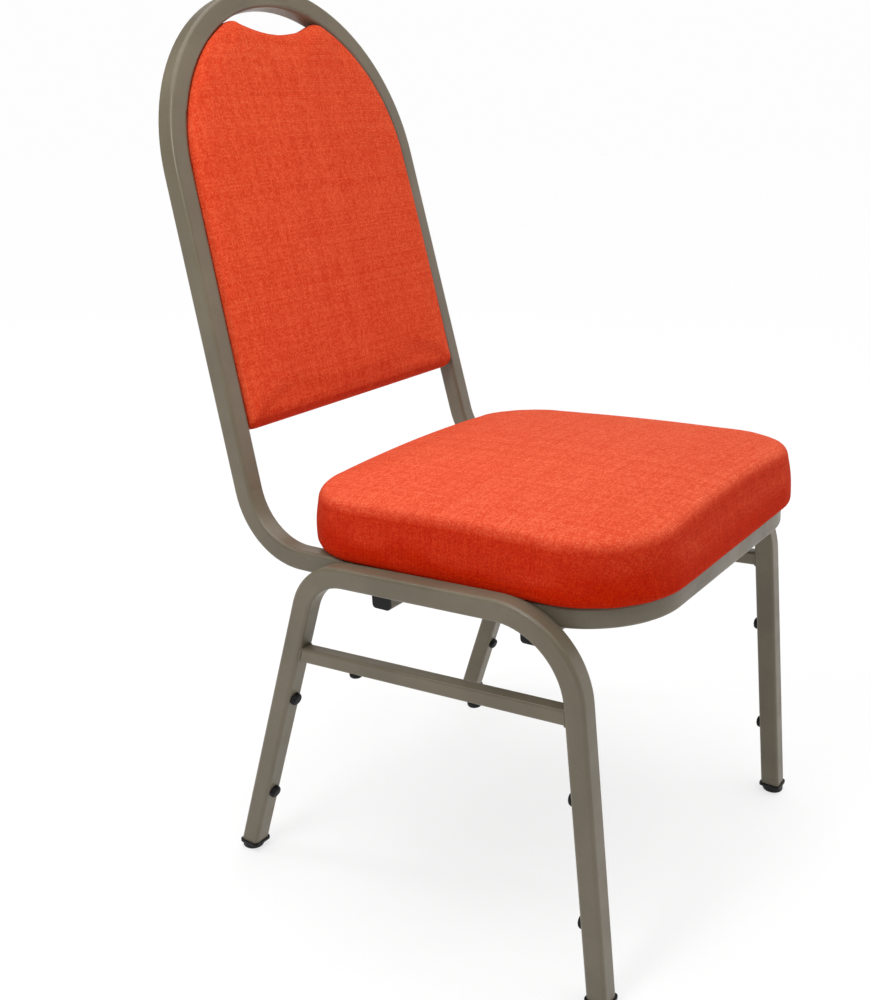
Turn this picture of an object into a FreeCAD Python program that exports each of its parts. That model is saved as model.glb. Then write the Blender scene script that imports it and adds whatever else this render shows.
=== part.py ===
import FreeCAD, Part
import math
import os

# A stacking chair: a welded frame of square steel tube with a padded seat and a padded back.
# Millimetres, +Z up, the front of the chair towards -Y. Right and left are those of the person
# sitting in it, so right is -X. The chair is laid out with y = 0 midway between its front and rear
# feet at floor level, and every piece is then moved so that the origin is at the bottom centre.

Vector = FreeCAD.Vector

# Tube sections
LEG_TUBE = 22.0
FRAME_TUBE = 22.0
STRETCHER_TUBE = 16.0
TUBE_CORNER = 4.0
STRETCHER_CORNER = 3.0
TUBE_WALL = 1.5

# Leg frames: each is one tube bent into an upside-down U that stands in a plane of constant x
LEG_PLANE_X = 224.0
FOOT_SPREAD = 226.1
FRONT_LEG_LEAN = 0.1124
REAR_LEG_LEAN = 0.3078
TOP_RAIL_HEIGHT = 377.6
TOP_RAIL_SLOPE = 0.07
FRONT_LEG_BEND = 82.0
REAR_LEG_BEND = 60.0

# Side stretchers, between the front and rear leg on each side
STRETCHER_HEIGHT = 283.6
STRETCHER_SLOPE = 0.085

# Seat rail: a U of tube in a plane that rises towards the front
SEAT_HEIGHT = 375.2
SEAT_SLOPE = 0.0514
SEAT_RAIL_FRONT_Y = -234.5
SEAT_RAIL_CORNER = 96.0
RAIL_JOINT_Y = 96.0

# Back hoop: in a plane that leans back, with posts that spread a little on the way down
BACK_FOOT_Y = 112.6
BACK_LEAN = 0.2572
HOOP_CENTRE_UP = 758.6
HOOP_RADIUS = 184.4
POST_SPREAD_DEGREES = 2.31
POST_FOOT_BEND = 77.0
HOOP_FOOT_STEP_IN = 0.2

# Cross tubes, welded under the seat rail
CROSS_TUBE_HALF_LENGTH = 208.0
CROSS_TUBE_YS = {"front": -131.0, "rear": 40.0}
END_PLUG_FLANGE = 2.5
END_PLUG_DEPTH = 14.0

# Glides in the leg ends
GLIDE_HEIGHT = 10.0
GLIDE_FLANGE = 3.0
GLIDE_FLANGE_SIZE = 25.5
GLIDE_FOOT_RADIUS = 12.0
GLIDE_FOOT_EDGE = 2.0
GLIDE_PLUG_DEPTH = 24.0
PLUG_CLEARANCE = 0.15

# Push-in rubber bumpers
BUMPER_RADIUS = 7.0
BUMPER_PROUD = 5.5
BUMPER_EDGE = 3.0
BUMPER_STEM_RADIUS = 3.0
BUMPER_STEM_DEPTH = 5.0
LEG_BUMPER_HEIGHTS = (88.3, 217.0)
STRETCHER_BUMPER_YS = (-80.0, 63.0)

# Seat pad
SEAT_PAD_FRONT_Y = -238.0
SEAT_PAD_REAR_Y = 154.0
SEAT_PAD_FRONT_HALF_WIDTH = 214.0
SEAT_PAD_REAR_HALF_WIDTH = 213.0
SEAT_PAD_FRONT_CORNER = 84.0
SEAT_PAD_REAR_CORNER = 78.0
SEAT_PAD_THICKNESS = 72.5
SEAT_PAD_CROWN_RADIUS = 2600.0
SEAT_PAD_TOP_EDGE = 12.0
SEAT_PAD_BOTTOM_EDGE = 7.0
SEAT_BOARD_THICKNESS = 12.0
SEAT_BOARD_INSET = 10.0
DUST_COVER_THICKNESS = 0.8
DUST_COVER_INSET = 14.0

# Back pad, inside the hoop
BACK_PAD_BOTTOM_UP = 499.0
BACK_PAD_CLEARANCE = 0.5
BACK_PAD_FRONT = 20.5
BACK_PAD_CROWN_RADIUS = 8000.0
BACK_PAD_CROWN_UP = 640.0
BACK_PAD_FRONT_EDGE = 7.0
BACK_PAD_BOTTOM_CORNER = 7.0
HANDLE_DIP_UP = 902.0
HANDLE_HALF_WIDTH = 68.0
HANDLE_SHOULDER_RISE = 17.0
HANDLE_SHOULDER_CORNER = 9.0
BACK_BOARD_THICKNESS = 10.0
BACK_BOARD_INSET = 5.0
REAR_COVER_THICKNESS = 10.0
REAR_COVER_SKIN = 4.0
REAR_COVER_RIM = 5.0
REAR_COVER_EDGE = 3.0

# Steel tabs welded inside the hoop and the seat rail to carry the boards, and their screws
TAB_THICKNESS = 3.0
TAB_WIDTH = 24.0
TAB_REACH = 26.0
TAB_GAP = 0.5
BACK_TAB_UPS = (560.0, 730.0)
SEAT_TAB_FRONT_X = 100.0
SEAT_TAB_REAR_Y = 72.0
SCREW_RADIUS = 2.5
SCREW_HEAD_RADIUS = 4.5
SCREW_HEAD_HEIGHT = 2.6
SCREW_BITE = 8.0
SCREW_HOLE_CLEARANCE = 0.4

SIDES = {"right": -1, "left": 1}
HALF_LEG_TUBE = LEG_TUBE / 2
HALF_FRAME_TUBE = FRAME_TUBE / 2
SEAT_RAIL_X = LEG_PLANE_X - HALF_LEG_TUBE - HALF_FRAME_TUBE
BACK_ANGLE = math.degrees(math.atan(BACK_LEAN))
POST_SPREAD = math.radians(POST_SPREAD_DEGREES)
# The seat's and the back's own frames: x, then along the plane, then out of it on the pad's side
SEAT_FRAME = FreeCAD.Placement(
    Vector(0, 0, SEAT_HEIGHT), FreeCAD.Rotation(Vector(1, 0, 0), -math.degrees(math.atan(SEAT_SLOPE)))
)
BACK_FRAME = FreeCAD.Placement(
    Vector(0, BACK_FOOT_Y, 0), FreeCAD.Rotation(Vector(1, 0, 0), 90 - BACK_ANGLE)
)
# Underside of the seat pad above the seat rail's centre plane: the dust cover lies between them
SEAT_PAD_BASE = HALF_FRAME_TUBE + DUST_COVER_THICKNESS
BACK_BOARD_REAR = -BACK_BOARD_THICKNESS / 2


def unit(vector):
    return vector * (1 / vector.Length)


def placed(shape, placement):
    """A copy of shape moved from a local frame to the chair's."""
    moved = shape.copy()
    moved.Placement = placement.multiply(moved.Placement)
    return moved


def section_face(centre, across, heading, size, corner):
    """Rounded square face at right angles to heading, with two of its sides along across."""
    up = unit(heading.cross(across))
    half = size / 2
    flat = half - corner
    diagonal = half - corner * (1 - math.sqrt(0.5))
    edges = []
    for out, along in ((across, up), (up, -across), (-across, -up), (-up, across)):
        side_start = centre + out * half - along * flat
        side_end = centre + out * half + along * flat
        corner_middle = centre + (out + along) * diagonal
        corner_end = centre + out * flat + along * half
        edges.append(Part.LineSegment(side_start, side_end).toShape())
        edges.append(Part.Arc(side_end, corner_middle, corner_end).toShape())
    return Part.Face(Part.Wire(edges))


def bent_bar(points, bends, across, size, corner):
    """Solid bar of rounded square section along straight runs joined by tangent bends.

    points are the centreline's ends and corners, bends the radius at each corner, and across
    the direction of one side of the section at the start.
    """
    bars = []
    position = points[0]
    for index, bend in enumerate(bends, start=1):
        heading = unit(points[index] - points[index - 1])
        next_heading = unit(points[index + 1] - points[index])
        turn = heading.getAngle(next_heading)
        tangent = bend * math.tan(turn / 2)
        bend_start = points[index] - heading * tangent
        run = bend_start - position
        if run.Length > 0.01:
            bars.append(section_face(position, across, heading, size, corner).extrude(run))
        axis = unit(heading.cross(next_heading))
        centre = bend_start + axis.cross(heading) * bend
        face = section_face(bend_start, across, heading, size, corner)
        bars.append(face.revolve(centre, axis, math.degrees(turn)))
        across = FreeCAD.Rotation(axis, math.degrees(turn)).multVec(across)
        position = points[index] + next_heading * tangent
    last = points[-1] - position
    bars.append(section_face(position, across, unit(last), size, corner).extrude(last))
    if len(bars) == 1:
        return bars[0]
    return bars[0].multiFuse(bars[1:]).removeSplitter().Solids[0]


def bent_tube(points, bends, across, size, corner=TUBE_CORNER):
    """Hollow square tube along the same kind of centreline as bent_bar."""
    bore = size - 2 * TUBE_WALL
    outside = bent_bar(points, bends, across, size, corner)
    inside = bent_bar(points, bends, across, bore, corner - TUBE_WALL)
    return outside.cut(inside).Solids[0]


def cylinder(base, axis, radius, length):
    return Part.makeCylinder(radius, length, base, axis)


def edges_along(shape, direction, keep):
    """The straight edges of shape that run along direction and whose middle keep() accepts."""
    found = []
    for edge in shape.Edges:
        ends = edge.Vertexes
        if edge.Curve.TypeId != "Part::GeomLine" or len(ends) != 2:
            continue
        run = unit(ends[1].Point - ends[0].Point)
        middle = (ends[1].Point + ends[0].Point) * 0.5
        if abs(run.dot(direction)) > 0.999 and keep(middle):
            found.append(edge)
    return found


def edges_at_height(shape, height):
    """The edges of shape that lie wholly at one local height."""
    return [
        edge
        for edge in shape.Edges
        if abs(edge.BoundBox.ZMin - height) < 0.01 and abs(edge.BoundBox.ZMax - height) < 0.01
    ]


# Legs


def front_leg_y(z):
    return -FOOT_SPREAD + FRONT_LEG_LEAN * z


def rear_leg_y(z):
    return FOOT_SPREAD - REAR_LEG_LEAN * z


def leg_frame_points(x):
    """Centreline corners from below the front foot, over the top rail, to below the rear foot."""
    front_z = (TOP_RAIL_HEIGHT + TOP_RAIL_SLOPE * FOOT_SPREAD) / (1 + TOP_RAIL_SLOPE * FRONT_LEG_LEAN)
    rear_z = (TOP_RAIL_HEIGHT - TOP_RAIL_SLOPE * FOOT_SPREAD) / (1 - TOP_RAIL_SLOPE * REAR_LEG_LEAN)
    below = -GLIDE_HEIGHT
    return [
        Vector(x, front_leg_y(below), below),
        Vector(x, front_leg_y(front_z), front_z),
        Vector(x, rear_leg_y(rear_z), rear_z),
        Vector(x, rear_leg_y(below), below),
    ]


def leg_bumper_places(x):
    """Centre and outward direction of each bumper, on the leg faces that look at the other leg."""
    places = []
    for z in LEG_BUMPER_HEIGHTS:
        front_out = unit(Vector(0, 1, -FRONT_LEG_LEAN))
        rear_out = unit(Vector(0, -1, -REAR_LEG_LEAN))
        places.append((Vector(x, front_leg_y(z), z) + front_out * HALF_LEG_TUBE, front_out, "front"))
        places.append((Vector(x, rear_leg_y(z), z) + rear_out * HALF_LEG_TUBE, rear_out, "rear"))
    return places


def stretcher_bumper_places(x):
    """Centre and outward direction of each bumper under a side stretcher."""
    out = unit(Vector(0, -STRETCHER_SLOPE, -1))
    return [
        (Vector(x, y, STRETCHER_HEIGHT - STRETCHER_SLOPE * y) + out * (STRETCHER_TUBE / 2), out)
        for y in STRETCHER_BUMPER_YS
    ]


def stem_hole(place, out):
    """The hole in a tube's wall for one bumper's stem."""
    return cylinder(place - out * (TUBE_WALL + 1), out, BUMPER_STEM_RADIUS, TUBE_WALL + 2)


def bumper(place, out):
    """A rubber button with a rounded head and a stem that is pushed through the tube's wall."""
    head = cylinder(place, out, BUMPER_RADIUS, BUMPER_PROUD)
    rim = [edge for edge in head.Edges if (edge.BoundBox.Center - place).dot(out) > BUMPER_PROUD / 2]
    crown = [edge for edge in rim if edge.Curve.TypeId == "Part::GeomCircle"]
    head = head.makeFillet(BUMPER_EDGE, crown)
    stem = cylinder(place - out * BUMPER_STEM_DEPTH, out, BUMPER_STEM_RADIUS, BUMPER_STEM_DEPTH)
    return head.fuse(stem).removeSplitter().Solids[0]


def below_leg_ends():
    """Everything lower than the ends of the leg tubes."""
    reach = 2 * FOOT_SPREAD
    return Part.makeBox(2 * reach, 2 * reach, reach, Vector(-reach, -reach, GLIDE_HEIGHT - reach))


def leg_frame(x):
    frame = bent_tube(leg_frame_points(x), [FRONT_LEG_BEND, REAR_LEG_BEND], Vector(1, 0, 0), LEG_TUBE)
    frame = frame.cut(below_leg_ends())
    holes = [stem_hole(place, out) for place, out, _ in leg_bumper_places(x)]
    return frame.cut(holes).Solids[0]


def glide(x, foot_y, lean_y):
    """A plastic foot with a square flange under the tube's end and a plug inside it.

    lean_y is how far the leg moves along y for each millimetre of height.
    """
    up = Vector(0, 0, 1)
    floor_point = Vector(x, foot_y, 0)
    foot = cylinder(floor_point, up, GLIDE_FOOT_RADIUS, GLIDE_HEIGHT - GLIDE_FLANGE)
    foot = foot.makeFillet(GLIDE_FOOT_EDGE, edges_at_height(foot, 0))
    top_y = foot_y + lean_y * GLIDE_HEIGHT
    flange = section_face(
        Vector(x, top_y, GLIDE_HEIGHT - GLIDE_FLANGE), Vector(1, 0, 0), up, GLIDE_FLANGE_SIZE, TUBE_CORNER
    ).extrude(up * GLIDE_FLANGE)
    plug_size = LEG_TUBE - 2 * TUBE_WALL - 2 * PLUG_CLEARANCE
    plug_top = floor_point + Vector(0, lean_y, 1) * (GLIDE_HEIGHT + GLIDE_PLUG_DEPTH)
    plug = bent_bar(
        [floor_point, plug_top],
        [],
        Vector(1, 0, 0),
        plug_size,
        TUBE_CORNER - TUBE_WALL,
    )
    plug = plug.cut(below_leg_ends())
    return foot.multiFuse([flange, plug]).removeSplitter().Solids[0]


def side_stretcher(x):
    """A straight tube cut to the faces of the two legs, with holes for its bumpers."""

    def at(y):
        return Vector(x, y, STRETCHER_HEIGHT - STRETCHER_SLOPE * y)

    ends = [at(front_leg_y(STRETCHER_HEIGHT)), at(rear_leg_y(STRETCHER_HEIGHT))]
    tube = bent_tube(ends, [], Vector(1, 0, 0), STRETCHER_TUBE, STRETCHER_CORNER)
    legs = bent_bar(
        leg_frame_points(x), [FRONT_LEG_BEND, REAR_LEG_BEND], Vector(1, 0, 0), LEG_TUBE, TUBE_CORNER
    )
    tube = tube.cut(legs)
    holes = [stem_hole(place, out) for place, out in stretcher_bumper_places(x)]
    return tube.cut(holes).Solids[0]


# Seat rail, back hoop and cross tubes


def seat_point(x, along, out=0.0):
    return SEAT_FRAME.multVec(Vector(x, along, out))


def back_point(x, up, out=0.0):
    return BACK_FRAME.multVec(Vector(x, up, out))


def seat_rail():
    front_y = SEAT_RAIL_FRONT_Y + HALF_FRAME_TUBE
    points = [
        seat_point(-SEAT_RAIL_X, RAIL_JOINT_Y),
        seat_point(-SEAT_RAIL_X, front_y),
        seat_point(SEAT_RAIL_X, front_y),
        seat_point(SEAT_RAIL_X, RAIL_JOINT_Y),
    ]
    bends = [SEAT_RAIL_CORNER - HALF_FRAME_TUBE] * 2
    return bent_tube(points, bends, Vector(1, 0, 0), FRAME_TUBE)


def post_x(up, inset=0.0):
    """Half-width of the posts' centreline, or of a line inset from it, at a distance up the back."""
    tangent_x = (HOOP_RADIUS - inset) * math.cos(POST_SPREAD)
    tangent_up = HOOP_CENTRE_UP + (HOOP_RADIUS - inset) * math.sin(POST_SPREAD)
    return tangent_x + (tangent_up - up) * math.tan(POST_SPREAD)


def back_hoop():
    """One tube: from the end of the seat rail, back and up one post, over and down the other.

    Its ends start inside the seat rail's and are cut off flat where the two tubes meet. They stand a
    little further in than the rail, so that the turned section keeps off the leg frames.
    """
    foot_z = (SEAT_HEIGHT - SEAT_SLOPE * BACK_FOOT_Y) / (1 + SEAT_SLOPE * BACK_LEAN)
    foot_up = foot_z / math.cos(math.radians(BACK_ANGLE))
    top_up = HOOP_CENTRE_UP + HOOP_RADIUS
    start_x = SEAT_RAIL_X - HOOP_FOOT_STEP_IN
    start_y = RAIL_JOINT_Y - HALF_FRAME_TUBE
    points = [
        seat_point(-start_x, start_y),
        back_point(-post_x(foot_up), foot_up),
        back_point(-post_x(top_up), top_up),
        back_point(post_x(top_up), top_up),
        back_point(post_x(foot_up), foot_up),
        seat_point(start_x, start_y),
    ]
    bends = [POST_FOOT_BEND, HOOP_RADIUS, HOOP_RADIUS, POST_FOOT_BEND]
    # The section is square to the hoop's plane, so at the joint it is a degree or so off the seat rail's
    run = unit(points[1] - points[0])
    post = unit(points[2] - points[1])
    out_of_back = BACK_FRAME.Rotation.multVec(Vector(0, 0, 1))
    back_to_run = FreeCAD.Rotation(run.cross(post), -math.degrees(run.getAngle(post)))
    hoop = bent_tube(points, bends, back_to_run.multVec(out_of_back), FRAME_TUBE)
    reach = 2 * LEG_PLANE_X
    ahead = Part.makeBox(reach, reach, reach, Vector(-reach / 2, RAIL_JOINT_Y - reach, -reach / 2))
    return hoop.cut(placed(ahead, SEAT_FRAME)).Solids[0]


def tab(hole_place):
    """A steel tab in a local frame, welded at its +X edge, with its top face at hole_place's height."""
    corner = hole_place - Vector(TAB_REACH / 2, TAB_WIDTH / 2, TAB_THICKNESS)
    plate = Part.makeBox(TAB_REACH, TAB_WIDTH, TAB_THICKNESS, corner)
    hole_base = hole_place - Vector(0, 0, TAB_THICKNESS + 1)
    return plate.cut(
        cylinder(hole_base, Vector(0, 0, 1), SCREW_RADIUS + SCREW_HOLE_CLEARANCE, TAB_THICKNESS + 2)
    )


def turned(shape, centre, degrees):
    """A copy of shape turned about the local Z axis through centre."""
    copy = shape.copy()
    copy.rotate(centre, Vector(0, 0, 1), degrees)
    return copy


def seat_tab_places():
    """Screw place of each seat tab in the seat's frame, and the way its welded edge faces, in degrees."""
    inward = HALF_FRAME_TUBE + TAB_REACH / 2
    front_y = SEAT_RAIL_FRONT_Y + HALF_FRAME_TUBE + inward
    rear_x = SEAT_RAIL_X - inward
    places = []
    for side in SIDES.values():
        places.append((Vector(side * SEAT_TAB_FRONT_X, front_y, HALF_FRAME_TUBE), -90))
        places.append((Vector(side * rear_x, SEAT_TAB_REAR_Y, HALF_FRAME_TUBE), 90 - 90 * side))
    return places


def seat_fixing_tabs():
    """Four tabs welded to the inside faces of the seat rail, level with its top."""
    tabs = [
        placed(turned(tab(place), place, degrees).Solids[0], SEAT_FRAME)
        for place, degrees in seat_tab_places()
    ]
    return Part.makeCompound(tabs)


def cross_tube(y):
    drop = HALF_FRAME_TUBE + HALF_LEG_TUBE
    ends = [seat_point(side * CROSS_TUBE_HALF_LENGTH, y, -drop) for side in (-1, 1)]
    out_of_seat = SEAT_FRAME.Rotation.multVec(Vector(0, 0, 1))
    return bent_tube(ends, [], out_of_seat, LEG_TUBE)


def end_plugs():
    """The four plastic plugs in the ends of the cross tubes."""
    drop = HALF_FRAME_TUBE + HALF_LEG_TUBE
    plug_size = LEG_TUBE - 2 * TUBE_WALL - 2 * PLUG_CLEARANCE
    plugs = []
    for y in CROSS_TUBE_YS.values():
        for side in SIDES.values():
            heading = Vector(side, 0, 0)
            across = SEAT_FRAME.Rotation.multVec(Vector(0, 1, 0))
            end = seat_point(side * CROSS_TUBE_HALF_LENGTH, y, -drop)
            cap = section_face(end, across, heading, LEG_TUBE, TUBE_CORNER).extrude(heading * END_PLUG_FLANGE)
            core_face = section_face(end, across, heading, plug_size, TUBE_CORNER - TUBE_WALL)
            core = core_face.extrude(heading * -END_PLUG_DEPTH)
            plugs.append(cap.fuse(core).removeSplitter().Solids[0])
    return Part.makeCompound(plugs)


# Seat pad


def rounded_outline(corners, radii):
    """Closed wire through corners in the local plane, each rounded by its radius."""
    edges = []
    count = len(corners)
    previous_end = None
    first_start = None
    for index in range(count):
        corner = corners[index]
        back = unit(corners[index - 1] - corner)
        ahead = unit(corners[(index + 1) % count] - corner)
        half_angle = back.getAngle(ahead) / 2
        tangent = radii[index] / math.tan(half_angle)
        middle_reach = radii[index] / math.sin(half_angle) - radii[index]
        arc_start = corner + back * tangent
        arc_middle = corner + unit(back + ahead) * middle_reach
        arc_end = corner + ahead * tangent
        if previous_end is not None:
            edges.append(Part.LineSegment(previous_end, arc_start).toShape())
        else:
            first_start = arc_start
        edges.append(Part.Arc(arc_start, arc_middle, arc_end).toShape())
        previous_end = arc_end
    edges.append(Part.LineSegment(previous_end, first_start).toShape())
    return Part.Wire(edges)


def seat_plate(inset, bottom, thickness):
    """A flat plate with the seat pad's outline, drawn in by inset, in the seat's frame."""
    corners = [
        Vector(-SEAT_PAD_FRONT_HALF_WIDTH + inset, SEAT_PAD_FRONT_Y + inset, bottom),
        Vector(SEAT_PAD_FRONT_HALF_WIDTH - inset, SEAT_PAD_FRONT_Y + inset, bottom),
        Vector(SEAT_PAD_REAR_HALF_WIDTH - inset, SEAT_PAD_REAR_Y - inset, bottom),
        Vector(-SEAT_PAD_REAR_HALF_WIDTH + inset, SEAT_PAD_REAR_Y - inset, bottom),
    ]
    radii = [SEAT_PAD_FRONT_CORNER - inset] * 2 + [SEAT_PAD_REAR_CORNER - inset] * 2
    outline = rounded_outline(corners, radii)
    return Part.Face(outline).extrude(Vector(0, 0, thickness))


def seat_board():
    board = seat_plate(SEAT_BOARD_INSET, SEAT_PAD_BASE, SEAT_BOARD_THICKNESS)
    pilots = [
        cylinder(place, Vector(0, 0, 1), SCREW_RADIUS, DUST_COVER_THICKNESS + SCREW_BITE)
        for place, _ in seat_tab_places()
    ]
    return placed(board.cut(pilots).Solids[0], SEAT_FRAME)


def seat_cushion():
    """Foam and cover over the seat board: a crowned block with rounded edges and a pocket below."""
    block = seat_plate(0.0, SEAT_PAD_BASE, 2 * SEAT_PAD_THICKNESS)
    crown_top = SEAT_PAD_BASE + SEAT_PAD_THICKNESS
    middle_y = (SEAT_PAD_FRONT_Y + SEAT_PAD_REAR_Y) / 2
    crown = Part.makeSphere(SEAT_PAD_CROWN_RADIUS, Vector(0, middle_y, crown_top - SEAT_PAD_CROWN_RADIUS))
    pad = block.common(crown).Solids[0]
    pad = pad.makeFillet(SEAT_PAD_BOTTOM_EDGE, edges_at_height(pad, SEAT_PAD_BASE))
    lowest_top_edge = SEAT_PAD_BASE + SEAT_PAD_THICKNESS / 2
    top_edges = [edge for edge in pad.Edges if edge.BoundBox.ZMin > lowest_top_edge]
    pad = pad.makeFillet(SEAT_PAD_TOP_EDGE, top_edges)
    pocket = seat_plate(SEAT_BOARD_INSET, SEAT_PAD_BASE, SEAT_BOARD_THICKNESS)
    return placed(pad.cut(pocket).Solids[0], SEAT_FRAME)


def seat_dust_cover():
    """Thin black cloth stapled under the seat, where it lies on the seat rail."""
    cloth = seat_plate(DUST_COVER_INSET, HALF_FRAME_TUBE, DUST_COVER_THICKNESS)
    holes = [
        cylinder(place, Vector(0, 0, 1), SCREW_RADIUS + SCREW_HOLE_CLEARANCE, DUST_COVER_THICKNESS)
        for place, _ in seat_tab_places()
    ]
    return placed(cloth.cut(holes).Solids[0], SEAT_FRAME)


def screw(base, shank_length):
    """A pan-head screw that points up the local Z axis, with its head under base."""
    head = cylinder(base, Vector(0, 0, -1), SCREW_HEAD_RADIUS, SCREW_HEAD_HEIGHT)
    head = head.makeFillet(SCREW_HEAD_HEIGHT / 2, edges_at_height(head, base.z - SCREW_HEAD_HEIGHT))
    shank = cylinder(base, Vector(0, 0, 1), SCREW_RADIUS, shank_length)
    return head.fuse(shank).removeSplitter().Solids[0]


def seat_screws():
    shank = TAB_THICKNESS + DUST_COVER_THICKNESS + SCREW_BITE
    screws = [
        placed(screw(place - Vector(0, 0, TAB_THICKNESS), shank), SEAT_FRAME)
        for place, _ in seat_tab_places()
    ]
    return Part.makeCompound(screws)


# Back pad


def back_plate(inset, rear, thickness):
    """A flat plate with the outline of the hoop's inside, in the back's frame.

    Its top dips in the middle to leave a handle gap, between two rounded shoulders.
    """
    edge_inset = HALF_FRAME_TUBE + BACK_PAD_CLEARANCE + inset
    radius = HOOP_RADIUS - edge_inset
    tangent_x = radius * math.cos(POST_SPREAD)
    tangent_up = HOOP_CENTRE_UP + radius * math.sin(POST_SPREAD)
    bottom = BACK_PAD_BOTTOM_UP + inset
    bottom_x = post_x(bottom, edge_inset)
    right_bottom = Vector(-bottom_x, bottom, rear)
    left_bottom = Vector(bottom_x, bottom, rear)
    left_tangent = Vector(tangent_x, tangent_up, rear)
    top = Vector(0, HOOP_CENTRE_UP + radius, rear)
    right_tangent = Vector(-tangent_x, tangent_up, rear)
    outline = Part.Wire(
        [
            Part.LineSegment(right_bottom, left_bottom).toShape(),
            Part.LineSegment(left_bottom, left_tangent).toShape(),
            Part.Arc(left_tangent, top, right_tangent).toShape(),
            Part.LineSegment(right_tangent, right_bottom).toShape(),
        ]
    )
    plate = Part.Face(outline).extrude(Vector(0, 0, thickness))
    rise = HANDLE_SHOULDER_RISE
    dip_radius = (HANDLE_HALF_WIDTH**2 + rise**2) / (2 * rise)
    dip_centre = Vector(0, HANDLE_DIP_UP - inset + dip_radius, rear - 1)
    plate = plate.cut(cylinder(dip_centre, Vector(0, 0, 1), dip_radius, thickness + 2)).Solids[0]
    normal = Vector(0, 0, 1)
    shoulders = edges_along(plate, normal, lambda p: p.y > HOOP_CENTRE_UP + radius / 2)
    plate = plate.makeFillet(HANDLE_SHOULDER_CORNER, shoulders)
    feet = edges_along(plate, normal, lambda p: p.y < bottom + 1)
    return plate.makeFillet(BACK_PAD_BOTTOM_CORNER - inset, feet)


def back_tab_places():
    """Screw place of each back tab in the back's frame, and the way its welded edge faces, in degrees."""
    places = []
    for up in BACK_TAB_UPS:
        for side in SIDES.values():
            x = side * (post_x(up, HALF_FRAME_TUBE) - TAB_REACH / 2 / math.cos(POST_SPREAD))
            places.append((Vector(x, up, BACK_BOARD_REAR), 90 - 90 * side + side * POST_SPREAD_DEGREES))
    return places


def back_fixing_tabs():
    """Four tabs welded to the inside faces of the posts, against the rear of the back board."""
    tabs = [
        placed(turned(tab(place), place, degrees).Solids[0], BACK_FRAME)
        for place, degrees in back_tab_places()
    ]
    return Part.makeCompound(tabs)


def back_tab_notch(place, degrees):
    """The room that the rear cover's rim leaves for one tab."""
    reach = TAB_REACH + 2 * TAB_GAP
    width = TAB_WIDTH + 2 * TAB_GAP
    depth = TAB_THICKNESS + TAB_GAP
    box = Part.makeBox(reach, width, depth, place - Vector(reach / 2, width / 2, depth))
    return turned(box, place, degrees)


def back_board():
    board = back_plate(BACK_BOARD_INSET, BACK_BOARD_REAR, BACK_BOARD_THICKNESS)
    pilots = [
        cylinder(place, Vector(0, 0, 1), SCREW_RADIUS, SCREW_BITE) for place, _ in back_tab_places()
    ]
    return placed(board.cut(pilots).Solids[0], BACK_FRAME)


def back_cushion():
    """Foam and cover in front of the back board, wrapped round the board's edges."""
    thickness = BACK_PAD_FRONT - BACK_BOARD_REAR
    block = back_plate(0.0, BACK_BOARD_REAR, 2 * thickness)
    crown = Part.makeSphere(
        BACK_PAD_CROWN_RADIUS, Vector(0, BACK_PAD_CROWN_UP, BACK_PAD_FRONT - BACK_PAD_CROWN_RADIUS)
    )
    pad = block.common(crown).Solids[0]
    front_edges = [edge for edge in pad.Edges if edge.BoundBox.ZMin > 0]
    pad = pad.makeFillet(BACK_PAD_FRONT_EDGE, front_edges)
    pocket = back_plate(BACK_BOARD_INSET, BACK_BOARD_REAR, BACK_BOARD_THICKNESS)
    return placed(pad.cut(pocket).Solids[0], BACK_FRAME)


def rear_cover():
    """Upholstered panel behind the back board: a shallow tray over the tabs and screw heads."""
    rear = BACK_BOARD_REAR - REAR_COVER_THICKNESS
    tray = back_plate(1.0, rear, REAR_COVER_THICKNESS)
    tray = tray.makeFillet(REAR_COVER_EDGE, edges_at_height(tray, rear))
    hollow = back_plate(REAR_COVER_RIM, rear + REAR_COVER_SKIN, REAR_COVER_THICKNESS)
    notches = [back_tab_notch(place, degrees) for place, degrees in back_tab_places()]
    return placed(tray.cut(hollow).cut(notches).Solids[0], BACK_FRAME)


def back_screws():
    shank = TAB_THICKNESS + SCREW_BITE
    screws = [
        placed(screw(place - Vector(0, 0, TAB_THICKNESS), shank), BACK_FRAME)
        for place, _ in back_tab_places()
    ]
    return Part.makeCompound(screws)


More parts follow.
